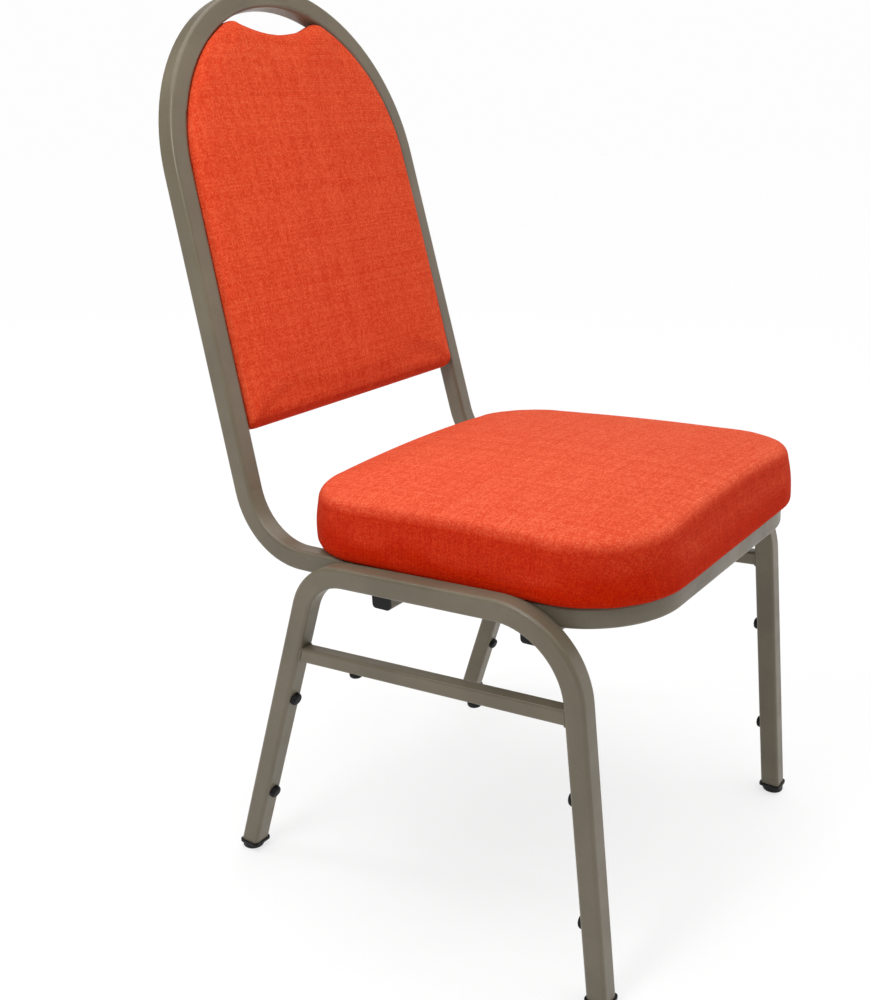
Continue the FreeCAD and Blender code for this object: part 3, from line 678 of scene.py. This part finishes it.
def steel_material():
    m = Nodes("zinc_plated_steel")
    place = m.place()
    cloud = m.noise(place, 240.0, 4.0, 0.6)
    colour = m.mix(m.ranged(cloud, 0.0, 1.0, 0.3, 0.7), rgb(0.46, 0.45, 0.40), rgb(0.66, 0.65, 0.62))
    m.set(Base_Color=colour, Metallic=1.0, Roughness=m.ranged(cloud, 0.24, 0.42))
    m.set(Normal=m.bump(m.noise(place, 2200.0, 2.0), 0.0001, 0.15))
    return m.material


MATERIALS = {
    "frame_paint": paint_material(),
    "seat_fabric": fabric_material("orange_weave_seat", *SEAT_PAINTED_LIGHT_TINTS),
    "black_plastic": plastic_material(),
    "black_rubber": rubber_material(),
    "plywood": plywood_material(),
    "dust_cloth": dust_cloth_material(),
    "screw_steel": steel_material(),
}
BACK_FABRIC = fabric_material("orange_weave_back", *BACK_PAINTED_LIGHT_TINTS)


def finish_piece(piece, slot, *replaced, material=None):
    """Material and body of a new piece, the material by slot unless one is given; the CAD nodes that it
    stands for are hidden.
    """
    piece.data.materials.clear()
    piece.data.materials.append(material or MATERIALS[slot])
    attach(piece, BODY)
    if replaced:
        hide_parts(*replaced)
    return piece


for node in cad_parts.values():
    for material_slot in node.material_slots:
        material_slot.material = MATERIALS[material_slot.material.name]

# ------------ seat pad

TOP_EDGE_IN = 0.0115
TOP_EDGE_DOWN = 0.0125
# The lower edge's tuck, first along the straight sides and then at the corners
BOTTOM_EDGE_IN = (0.0030, 0.0045)
BOTTOM_EDGE_UP = (0.0070, 0.0085)
SIDE_BULGE = 0.0036
SIDE_PULL = 0.0012
PLEAT_DEPTH = 0.0005
PLEATS_PER_TURN = 16
# The share of their depth that the pleats have where the lower edge begins to turn
PLEAT_START = 0.3
TOP_RING_INSETS = (0.040, 0.030, 0.021, 0.015)
SIDE_STEPS = 6
# The cover is folded under the board as far as this, and lies a little higher inside
FOLD_INSET = 0.0125
INNER_BASE = 0.0117


def seat_crown(points):
    """Height of the seat's top over a point of its plane."""
    middle = (SEAT_FRONT + SEAT_REAR) / 2
    across = points[:, 0] ** 2 / (2 * SEAT_CROWN_ACROSS)
    along = (points[:, 1] - middle) ** 2 / (2 * SEAT_CROWN_ALONG)
    return SEAT_TOP - across - along


def seat_corner_weight(outline):
    """For each outline point, 0 along the straight sides and 1 in the middle of a corner."""
    return np.clip(1.15 * np.abs(2 * outline.normals[:, 0] * outline.normals[:, 1]), 0, 1)


def seat_side_pull(outline):
    """How far the sides are drawn in between the corners."""
    middle = (SEAT_FRONT + SEAT_REAR) / 2
    across = outline.points[:, 0] / (SEAT_FRONT_HALF - SEAT_FRONT_CORNER)
    along = (outline.points[:, 1] - middle) / ((SEAT_REAR - SEAT_FRONT) / 2 - SEAT_FRONT_CORNER)
    ends = np.clip(1 - across**2, 0, 1) * outline.normals[:, 1] ** 4
    sides = np.clip(1 - along**2, 0, 1) * outline.normals[:, 0] ** 4
    return SIDE_PULL * (ends + sides)


def between_pair(pair, share):
    return pair[0] + (pair[1] - pair[0]) * share


def build_seat_cushion():
    outline = seat_outline()
    profile = Profile(outline)
    quarter = np.linspace(0, math.pi / 2, 7)
    corner = seat_corner_weight(outline)
    pull = seat_side_pull(outline)
    tuck_in = between_pair(BOTTOM_EDGE_IN, corner)
    tuck_up = between_pair(BOTTOM_EDGE_UP, corner)
    facing = np.arctan2(outline.normals[:, 1], outline.normals[:, 0])
    pleats = PLEAT_DEPTH * corner**2 * (1 + np.sin(PLEATS_PER_TURN * facing))
    side_top = seat_crown(outline.points) - TOP_EDGE_DOWN
    for inset in TOP_RING_INSETS:
        profile.add(inset, seat_crown)
    for a in quarter:
        inset = TOP_EDGE_IN * (1 - math.sin(a)) + pull * math.sin(a)
        profile.add(inset, lambda points: seat_crown(points) - TOP_EDGE_DOWN * (1 - math.cos(a)))
    for step in range(1, SIDE_STEPS):
        where = step / SIDE_STEPS
        bulge = SIDE_BULGE * math.sin(math.pi / 2 * min(1.0, 1.5 * where))
        heights = side_top * (1 - where) + (PAD_BASE + tuck_up) * where
        profile.add(pull - bulge + pleats * where * PLEAT_START, heights)
    for a in quarter:
        inset = (pull - SIDE_BULGE) * math.cos(a) + tuck_in * (1 - math.cos(a))
        inset = inset + pleats * (PLEAT_START + (1 - PLEAT_START) * math.sin(a))
        profile.add(inset, PAD_BASE + tuck_up * (1 - math.sin(a)))
    profile.add((tuck_in + FOLD_INSET) / 2, PAD_BASE)
    profile.add(FOLD_INSET, INNER_BASE)
    piece = profile.closed("seat_pad", seat_crown, INNER_BASE, SEAT_PLANE)
    inflate(piece, SEAT_PLANE, PAD_BASE + SEAT_HELD, SEAT_PRESSURE, SEAT_SWELL)
    add_subdivision(piece)
    return piece


seat_pad = finish_piece(build_seat_cushion(), "seat_fabric", "seat_cushion")

# ------------ back pad and rear panel

FRONT_EDGE = 0.007
BOTTOM_FRONT_EDGE = 0.014
BACK_BOTTOM_CORNER = 0.007
REAR_BOTTOM_CORNER = 0.006
# How far the curve over each end of the handle dip reaches
SHOULDER_CUT = 0.010


def back_crown(points):
    """Height of the back pad's front over a point of the back's plane."""
    squared = points[:, 0] ** 2 + (points[:, 1] - BACK_CROWN_UP) ** 2
    return BACK_FRONT - squared / (2 * BACK_CROWN_RADIUS)


def build_back_cushion():
    outline = back_outline(0.0, BACK_BOTTOM_CORNER, SHOULDER_CUT)
    profile = Profile(outline)
    # The cover curves under more gently along the bottom than round the hoop
    downward = np.clip(-outline.normals[:, 1], 0, 1) ** 2
    edge = between_pair((FRONT_EDGE, BOTTOM_FRONT_EDGE), downward)
    for a in np.linspace(0, math.pi / 2, 6):
        profile.add(edge * (1 - math.sin(a)), lambda points: back_crown(points) - edge * (1 - math.cos(a)))
    side_top = back_crown(outline.points) - edge
    for step in range(1, SIDE_STEPS + 1):
        where = step / SIDE_STEPS
        profile.add(0.0, side_top * (1 - where) + (BOARD_REAR + 0.002) * where)
    for inset, up in ((0.0006, 0.0006), (0.002, 0.0), (0.006, 0.0)):
        profile.add(inset, BOARD_REAR + up)
    piece = profile.closed("back_pad", back_crown, BOARD_REAR, BACK_PLANE)
    inflate(piece, BACK_PLANE, BOARD_REAR + BACK_HELD, BACK_PRESSURE, BACK_SWELL)
    add_subdivision(piece)
    return piece


back_pad = finish_piece(build_back_cushion(), "seat_fabric", "back_cushion", material=BACK_FABRIC)

REAR_EDGE = 0.004
REAR_CROWN = 0.0025
REAR_FRONT = BOARD_REAR - 0.0004


def build_rear_panel():
    """The upholstered panel behind the back board, a little crowned, with rounded edges."""
    profile = Profile(back_outline(0.001, REAR_BOTTOM_CORNER, SHOULDER_CUT))
    centre_up = (BACK_BOTTOM_UP + HANDLE_DIP_UP) / 2

    def crown(points):
        across = points[:, 0] / post_x(centre_up, BACK_EDGE_INSET)
        along = (points[:, 1] - centre_up) / (HANDLE_DIP_UP - centre_up)
        return REAR_CROWN * np.clip(1 - across**2, 0, 1) * np.clip(1 - along**2, 0, 1)

    for inset in (0.005, 0.0008):
        profile.add(inset, REAR_FRONT)
    for where in (0.0, 0.5):
        profile.add(0.0, BOARD_REAR - 0.001 + where * (COVER_REAR + REAR_EDGE - BOARD_REAR))
    for a in np.linspace(0, math.pi / 2, 5):
        depth = COVER_REAR + REAR_EDGE * (1 - math.sin(a))
        profile.add(REAR_EDGE * (1 - math.cos(a)), lambda points: depth - crown(points))
    piece = profile.closed("rear_panel", REAR_FRONT, lambda p: COVER_REAR - crown(p), BACK_PLANE, True)
    add_subdivision(piece)
    return piece


rear_panel = finish_piece(build_rear_panel(), "seat_fabric", "rear_cover", material=BACK_FABRIC)

# ------------ dust cover and its staples

DUST_INSET = 0.014
DUST_TOP = 0.0116
DUST_THICKNESS = 0.0005
DUST_SLACK = 0.0002


def polygon_area(points):
    x, y = points[:, 0], points[:, 1]
    return abs(float(np.sum(x * np.roll(y, -1) - y * np.roll(x, -1)))) / 2


def build_dust_cover():
    """Thin black cloth stapled under the seat board, with faint slack between its staples."""
    outline = seat_outline(48, 44)
    middle = DUST_TOP - DUST_THICKNESS / 2

    def slack(points):
        waves = np.sin(points[:, 0] * 61.0 + 1.3) * np.sin(points[:, 1] * 53.0 + 0.4)
        return DUST_SLACK * (1 + waves)

    rings = [
        (outline.ring(DUST_INSET), DUST_TOP, 0.0),
        (outline.ring(DUST_INSET - 0.0001), middle, DUST_THICKNESS / 2),
        (outline.ring(DUST_INSET), DUST_TOP - DUST_THICKNESS, DUST_THICKNESS),
    ]
    piece = shell(
        "dust_cover",
        outline,
        rings,
        lambda p: DUST_TOP - slack(p) * 0.5,
        lambda p: DUST_TOP - DUST_THICKNESS - slack(p),
        SEAT_PLANE,
    )
    cut = outline.ring(DUST_INSET)
    width, length = np.ptp(cut, axis=0)
    return piece, (float(width), float(length)), polygon_area(cut)


dust_cover, dust_flat, dust_area = build_dust_cover()
finish_piece(dust_cover, "dust_cloth", "seat_dust_cover")


class Sweep:
    """Round bars swept along polylines, gathered in one mesh."""

    def __init__(self, sides):
        self.sides = sides
        self.positions, self.faces = [], []

    def add(self, path, radii, closed):
        path = np.asarray(path, float)
        count, sides = len(path), self.sides
        if closed:
            ahead = np.roll(path, -1, axis=0) - np.roll(path, 1, axis=0)
        else:
            ahead = np.gradient(path, axis=0)
        ahead /= np.linalg.norm(ahead, axis=1)[:, None]
        spread = ahead.std(axis=0)
        first = np.eye(3)[int(np.argmin(spread + 10 * (np.abs(ahead).max(axis=0) > 0.95)))]
        side = np.cross(ahead, first)
        side /= np.linalg.norm(side, axis=1)[:, None]
        other = np.cross(ahead, side)
        start = len(self.positions)
        angles = 2 * math.pi * np.arange(sides) / sides
        for point, radius, a, b in zip(path, radii, side, other):
            for angle in angles:
                self.positions.append(point + radius * (math.cos(angle) * a + math.sin(angle) * b))
        last = count if closed else count - 1
        for i in range(last):
            here, there = start + i * sides, start + (i + 1) % count * sides
            for k in range(sides):
                n = (k + 1) % sides
                self.faces.append((here + k, here + n, there + n, there + k))
        if not closed:
            self.faces.append(tuple(start + k for k in reversed(range(sides))))
            self.faces.append(tuple(start + (count - 1) * sides + k for k in range(sides)))

    def piece(self, name):
        return linked(name, mesh_of(name, self.positions, self.faces))


STAPLE_INSET = 0.027
STAPLE_CROWN = 0.010
STAPLE_WIRE = 0.00035
STAPLES = 36
# From a staple's end, how far along and how high its wire turns over
STAPLE_BENDS = ((0.0, 0.0008), (0.0002, 0.0001), (0.0009, -STAPLE_WIRE))


def build_staples():
    """Staples through the dust cover, all round, just inside the seat rail."""
    outline = seat_outline(48, 44)
    line = outline.ring(STAPLE_INSET)
    line = resample(np.vstack([line, line[:1]]), STAPLES * 4)[:-1]
    bars = Sweep(8)
    wire_down = DUST_TOP - DUST_THICKNESS - 0.0002
    for index in range(STAPLES):
        here = line[index * 4]
        run = line[(index * 4 + 1) % len(line)] - line[index * 4 - 1]
        run /= np.linalg.norm(run)
        first, last = here - run * STAPLE_CROWN / 2, here + run * STAPLE_CROWN / 2
        path = [(*(first + run * ahead), wire_down + rise) for ahead, rise in STAPLE_BENDS]
        path.append((*here, wire_down - STAPLE_WIRE))
        path += [(*(last - run * ahead), wire_down + rise) for ahead, rise in reversed(STAPLE_BENDS)]
        bars.add(path, [STAPLE_WIRE] * len(path), False)
    piece = bars.piece("dust_cover_staples")
    piece.data.transform(SEAT_PLANE)
    return piece


finish_piece(build_staples(), "screw_steel")

# ------------ weld beads

BEAD_STEP = 0.0006
BEAD_RIPPLE = 0.10
RIPPLE_LENGTH = 0.0024
RAIL_X = 0.202
CROSS_TUBE_ALONGS = (CROSS_TUBE_ALONG, 0.040)
RAIL_JOINT_ALONG = 0.096
LEG_X = 0.224
FOOT_SPREAD = 0.2261
FRONT_LEAN = 0.1124
REAR_LEAN = 0.3078
STRETCHER_HEIGHT = 0.2836
STRETCHER_SLOPE = 0.085
STRETCHER_HALF = 0.008
TUBE_CORNER = 0.004
STRETCHER_CORNER = 0.003
# Stretches along the seat rail that are welded to the leg frames
SIDE_WELDS = ((-0.112, -0.082), (-0.030, 0.0), (0.064, 0.092))
STRETCHER_BEAD = 0.0014
CROSS_TUBE_BEAD = 0.0016
CROSS_TUBE_END_BEAD = 0.0015
SIDE_BEAD = 0.0020
JOINT_BEAD = 0.0008
# How far a stretcher's bead stands off its tube and off the leg
STRETCHER_BEAD_OFF = 0.0004


def rounded_square(half, corner):
    """Closed line round a rounded square, as (across, up) pairs in order."""
    line = []
    for turn in range(4):
        angle = turn * math.pi / 2
        centre = (half - corner) * np.array([[1, 1], [-1, 1], [-1, -1], [1, -1]][turn])
        line.append(arc(centre, corner, angle, angle + math.pi / 2, 8))
    line = np.vstack(line + [line[0][:1]])
    length = np.linalg.norm(np.diff(line, axis=0), axis=1).sum()
    return resample(line, int(length / BEAD_STEP))[:-1]


def add_bead(bars, path, radius, closed=False):
    """A bead with the overlapping ripples that a welder's steps leave."""
    path = np.asarray(path, float)
    along = np.concatenate([[0.0], np.cumsum(np.linalg.norm(np.diff(path, axis=0), axis=1))])
    phase = along / RIPPLE_LENGTH + 0.35 * np.sin(along * 310.0)
    radii = radius * (1 - BEAD_RIPPLE * (phase % 1.0) + 0.06 * np.sin(along * 173.0))
    if not closed:
        radii *= np.clip(np.minimum(along, along[-1] - along) / (1.5 * radius) + 0.25, 0, 1) ** 0.5
    bars.add(path, radii, closed)


def straight(start, end):
    start, end = np.asarray(start, float), np.asarray(end, float)
    steps = max(4, int(np.linalg.norm(end - start) / BEAD_STEP))
    return start + (end - start) * np.linspace(0, 1, steps + 1)[:, None]


def seat_points(points):
    """Points of the seat's plane (x, along, out) in the chair's frame."""
    return np.array([tuple(SEAT_PLANE @ Vector(p)) for p in points])


def build_weld_beads():
    bars = Sweep(10)
    half = TUBE / 2
    for side in (-1, 1):
        for lean, foot, facing in ((FRONT_LEAN, -FOOT_SPREAD, 1), (-REAR_LEAN, FOOT_SPREAD, -1)):
            up_leg = np.array([0.0, lean, 1.0]) / math.hypot(lean, 1.0)
            out = facing * np.array([0.0, 1.0, -lean]) / math.hypot(lean, 1.0)
            # Where the stretcher's centreline meets the leg's face
            face_foot = foot + facing * half * math.hypot(lean, 1.0)
            y = (face_foot + lean * STRETCHER_HEIGHT) / (1 + lean * STRETCHER_SLOPE)
            centre = np.array([side * LEG_X, y + FEET_Y, STRETCHER_HEIGHT - STRETCHER_SLOPE * y])
            ring = rounded_square(STRETCHER_HALF + STRETCHER_BEAD_OFF, STRETCHER_CORNER)
            path = centre + ring[:, :1] * np.array([1.0, 0.0, 0.0]) + ring[:, 1:] * up_leg
            add_bead(bars, path + out * STRETCHER_BEAD_OFF, STRETCHER_BEAD, True)
        inner, outer = side * (RAIL_X - half), side * (RAIL_X + half - 0.006)
        end = inner + side * 0.0008
        touch = side * (RAIL_X + half)
        welds = []
        for along in CROSS_TUBE_ALONGS:
            for edge in (-1, 1):
                across = along + edge * (half - 0.0016)
                welds.append(((inner, across), (outer, across), -half - 0.0010, CROSS_TUBE_BEAD))
            welds.append(((end, along - 0.007), (end, along + 0.007), -half + 0.0004, CROSS_TUBE_END_BEAD))
        for first, last in SIDE_WELDS:
            welds.append(((touch, first), (touch, last), -half + 0.0034, SIDE_BEAD))
        for first, last, height, radius in welds:
            add_bead(bars, seat_points(straight((*first, height), (*last, height))), radius)
        ring = rounded_square(half - 0.0002, TUBE_CORNER)
        joint = [(side * RAIL_X + across, RAIL_JOINT_ALONG, up) for across, up in ring]
        add_bead(bars, seat_points(joint), JOINT_BEAD, True)
    return bars.piece("weld_beads")


finish_piece(build_weld_beads(), "frame_paint")

# ------------ seat screws

SCREW_HEAD = 0.0045
SCREW_HEAD_HEIGHT = 0.0026
SCREW_SHANK = 0.0025
SCREW_HEAD_TOP = 0.008
SCREW_END = 0.0198
RECESS_ARM = 0.0024
RECESS_HALF = 0.0005
RECESS_DEPTH = 0.0015
RECESS_TAPER = 0.62
SCREW_PLACES = ((-0.100, -0.1995, 20), (0.100, -0.1995, 65), (-0.178, 0.072, 37), (0.178, 0.072, 5))


def screw_profile():
    """Radius and height of the screw's outline, from the middle of its head to its end."""
    low = SCREW_HEAD_TOP - SCREW_HEAD_HEIGHT
    edge = 0.0013
    dome = [(SCREW_HEAD * 0.25 * k, low + 0.0003 * (k / 3) ** 2) for k in (1, 2, 3)]
    rim = [
        (SCREW_HEAD - edge * (1 - math.sin(a)), low + 0.0003 + edge * (1 - math.cos(a)))
        for a in np.linspace(0.4, math.pi / 2, 5)
    ]
    return dome + rim + [
        (SCREW_HEAD, SCREW_HEAD_TOP),
        (SCREW_SHANK, SCREW_HEAD_TOP),
        (SCREW_SHANK, SCREW_END - 0.002),
        (0.0006, SCREW_END),
    ]


def add_lathe(positions, faces, profile, x, along, segments=40):
    start = len(positions)
    for radius, height in profile:
        for k in range(segments):
            angle = 2 * math.pi * k / segments
            positions.append((x + radius * math.cos(angle), along + radius * math.sin(angle), height))
    for i in range(len(profile) - 1):
        for k in range(segments):
            a, b = start + i * segments, start + (i + 1) * segments
            n = (k + 1) % segments
            faces.append((a + k, a + n, b + n, b + k))
    faces.append(tuple(start + k for k in reversed(range(segments))))
    top = start + (len(profile) - 1) * segments
    faces.append(tuple(top + k for k in range(segments)))


def turned(x, y, angle):
    return x * math.cos(angle) - y * math.sin(angle), x * math.sin(angle) + y * math.cos(angle)


def add_cross(positions, faces, x, along, degrees):
    """The cutter of one cross recess: a plus sign that narrows towards its bottom."""
    start = len(positions)
    arm = ((RECESS_ARM, -RECESS_HALF), (RECESS_ARM, RECESS_HALF), (RECESS_HALF, RECESS_HALF))
    plus = [turned(*point, turn * math.pi / 2) for turn in range(4) for point in arm]
    low = SCREW_HEAD_TOP - SCREW_HEAD_HEIGHT
    for height, scale in ((low - 0.001, 1.0), (low + RECESS_DEPTH, RECESS_TAPER)):
        for px, py in plus:
            px, py = turned(px * scale, py * scale, math.radians(degrees))
            positions.append((x + px, along + py, height))
    count = len(plus)
    for k in range(count):
        n = (k + 1) % count
        faces.append((start + k, start + n, start + count + n, start + count + k))
    faces.append(tuple(start + k for k in reversed(range(count))))
    faces.append(tuple(start + count + k for k in range(count)))


def build_seat_screws():
    """Pan-head screws with cross recesses."""
    heads, cutters = ([], []), ([], [])
    for x, along, degrees in SCREW_PLACES:
        add_lathe(*heads, screw_profile(), x, along)
        add_cross(*cutters, x, along, degrees)
    whole = linked("seat_screw_blanks", mesh_of("seat_screw_blanks", *heads))
    cutter = linked("seat_screw_recesses", mesh_of("seat_screw_recesses", *cutters, smooth=False))
    cut = whole.modifiers.new("Recess", "BOOLEAN")
    cut.operation = "DIFFERENCE"
    cut.solver = "EXACT"
    cut.object = cutter
    bpy.context.view_layer.update()
    mesh = bpy.data.meshes.new_from_object(whole.evaluated_get(bpy.context.evaluated_depsgraph_get()))
    for spare in (whole, cutter):
        bpy.data.objects.remove(spare)
    mesh.transform(SEAT_PLANE)
    mesh.name = "cross_recess_seat_screws"
    mesh.set_sharp_from_angle(angle=math.radians(35))
    return linked("cross_recess_seat_screws", mesh)


finish_piece(build_seat_screws(), "screw_steel", "seat_screws")

# ------------ floor, light and camera

FLOOR_SIZE = 24.0
FLOOR_GLOW = 0.70


def build_floor():
    half = FLOOR_SIZE / 2
    corners = [(-half, -half, 0), (half, -half, 0), (half, half, 0), (-half, half, 0)]
    mesh = mesh_of("floor", corners, [(0, 1, 2, 3)], smooth=False)
    floor = linked("floor", mesh)
    m = Nodes("pale_floor")
    place = m.place()
    speck = m.noise(place, 40.0, 3.0)
    m.set(Base_Color=m.mix(speck, grey(0.30), grey(0.32)), Roughness=0.9)
    m.set(Specular_IOR_Level=0.0, Emission_Color=grey(1.0), Emission_Strength=FLOOR_GLOW)
    mesh.materials.append(m.material)


build_floor()

WORLD_LIGHT = 0.13
HORIZON_LIGHT = 1.25
HORIZON_TOWARDS = (0.97, -0.24, 0.0)


def build_world():
    world = bpy.data.worlds.new("studio")
    world.use_nodes = True
    nodes, link = world.node_tree.nodes, world.node_tree.links.new
    nodes.clear()

    def background(colour):
        node = nodes.new("ShaderNodeBackground")
        node.inputs["Color"].default_value = colour
        node.inputs["Strength"].default_value = 1.0
        return node

    def smooth_range(value, *limits):
        """Value, eased from the first two limits to the last two."""
        node = nodes.new("ShaderNodeMapRange")
        node.interpolation_type = "SMOOTHSTEP"
        for socket, limit in zip(node.inputs[1:5], limits):
            socket.default_value = limit
        link(value, node.inputs[0])
        return node.outputs[0]

    seen, lighting = background(grey(0.985)), background(grey(1.0))
    # A pale backdrop low on the sitter's left, dimmer overhead and on the right
    direction = nodes.new("ShaderNodeTexCoord").outputs["Generated"]
    towards = nodes.new("ShaderNodeVectorMath")
    towards.operation = "DOT_PRODUCT"
    towards.inputs[1].default_value = HORIZON_TOWARDS
    link(direction, towards.inputs[0])
    split = nodes.new("ShaderNodeSeparateXYZ")
    link(direction, split.inputs[0])
    glow = nodes.new("ShaderNodeMath")
    glow.operation = "MULTIPLY_ADD"
    link(smooth_range(split.outputs["Z"], 0.05, 0.60, 1.0, 0.0), glow.inputs[0])
    link(smooth_range(towards.outputs["Value"], -0.1, 0.8, 0.0, HORIZON_LIGHT), glow.inputs[1])
    glow.inputs[2].default_value = WORLD_LIGHT
    link(glow.outputs[0], lighting.inputs["Strength"])
    mix = nodes.new("ShaderNodeMixShader")
    link(nodes.new("ShaderNodeLightPath").outputs["Is Camera Ray"], mix.inputs[0])
    link(lighting.outputs[0], mix.inputs[1])
    link(seen.outputs[0], mix.inputs[2])
    link(mix.outputs[0], nodes.new("ShaderNodeOutputWorld").inputs[0])
    bpy.context.scene.world = world


build_world()


def add_light(name, kind, energy, towards):
    """A light that shines back along towards."""
    data = bpy.data.lights.new(name, kind)
    data.energy = energy
    light = linked(name, data)
    light.rotation_euler = Vector(towards).to_track_quat("Z", "Y").to_euler()
    return light


def add_sun(name, direction, strength, angle):
    add_light(name, "SUN", strength, direction).data.angle = math.radians(angle)


def add_area(name, position, target, size, power):
    light = add_light(name, "AREA", power, Vector(position) - Vector(target))
    light.data.shape = "RECTANGLE"
    light.data.size, light.data.size_y = size
    light.location = position
    light.visible_camera = False


add_sun("key", (0.22, -0.12, 0.90), 2.40, 75)
add_area("strip", (-0.95, -0.05, 1.35), (-0.15, 0.25, 0.8), (0.25, 0.8), 8.0)
add_area("rim", (-0.9, 1.5, 2.5), (0.0, 0.2, 0.85), (0.25, 1.5), 9.0)

CAMERA_PLACE = (-1.03963, FEET_Y - 0.62422, 0.82596)
CAMERA_YAW = math.radians(-54.553)
CAMERA_PITCH = math.radians(-20.101)
CAMERA_ROLL = math.radians(-0.561)
CAMERA_LENS = 42.58
CAMERA_SHIFT = (-0.0054, 0.0152)


def build_camera():
    """The camera at the photograph's viewing angle."""
    cos_pitch = math.cos(CAMERA_PITCH)
    ahead = Vector(
        (-math.sin(CAMERA_YAW) * cos_pitch, math.cos(CAMERA_YAW) * cos_pitch, math.sin(CAMERA_PITCH))
    )
    level = ahead.cross(Vector((0, 0, 1))).normalized()
    above = level.cross(ahead)
    right = level * math.cos(CAMERA_ROLL) + above * math.sin(CAMERA_ROLL)
    up = above * math.cos(CAMERA_ROLL) - level * math.sin(CAMERA_ROLL)
    data = bpy.data.cameras.new("camera")
    data.sensor_width = 36.0
    data.lens = CAMERA_LENS
    data.shift_x, data.shift_y = CAMERA_SHIFT
    data.clip_start = 0.05
    data.clip_end = 60.0
    camera = linked("camera", data)
    camera.matrix_world = Matrix(
        (
            (right.x, up.x, -ahead.x, CAMERA_PLACE[0]),
            (right.y, up.y, -ahead.y, CAMERA_PLACE[1]),
            (right.z, up.z, -ahead.z, CAMERA_PLACE[2]),
            (0, 0, 0, 1),
        )
    )
    bpy.context.scene.camera = camera


build_camera()
bpy.context.scene.view_settings.view_transform = "Standard"
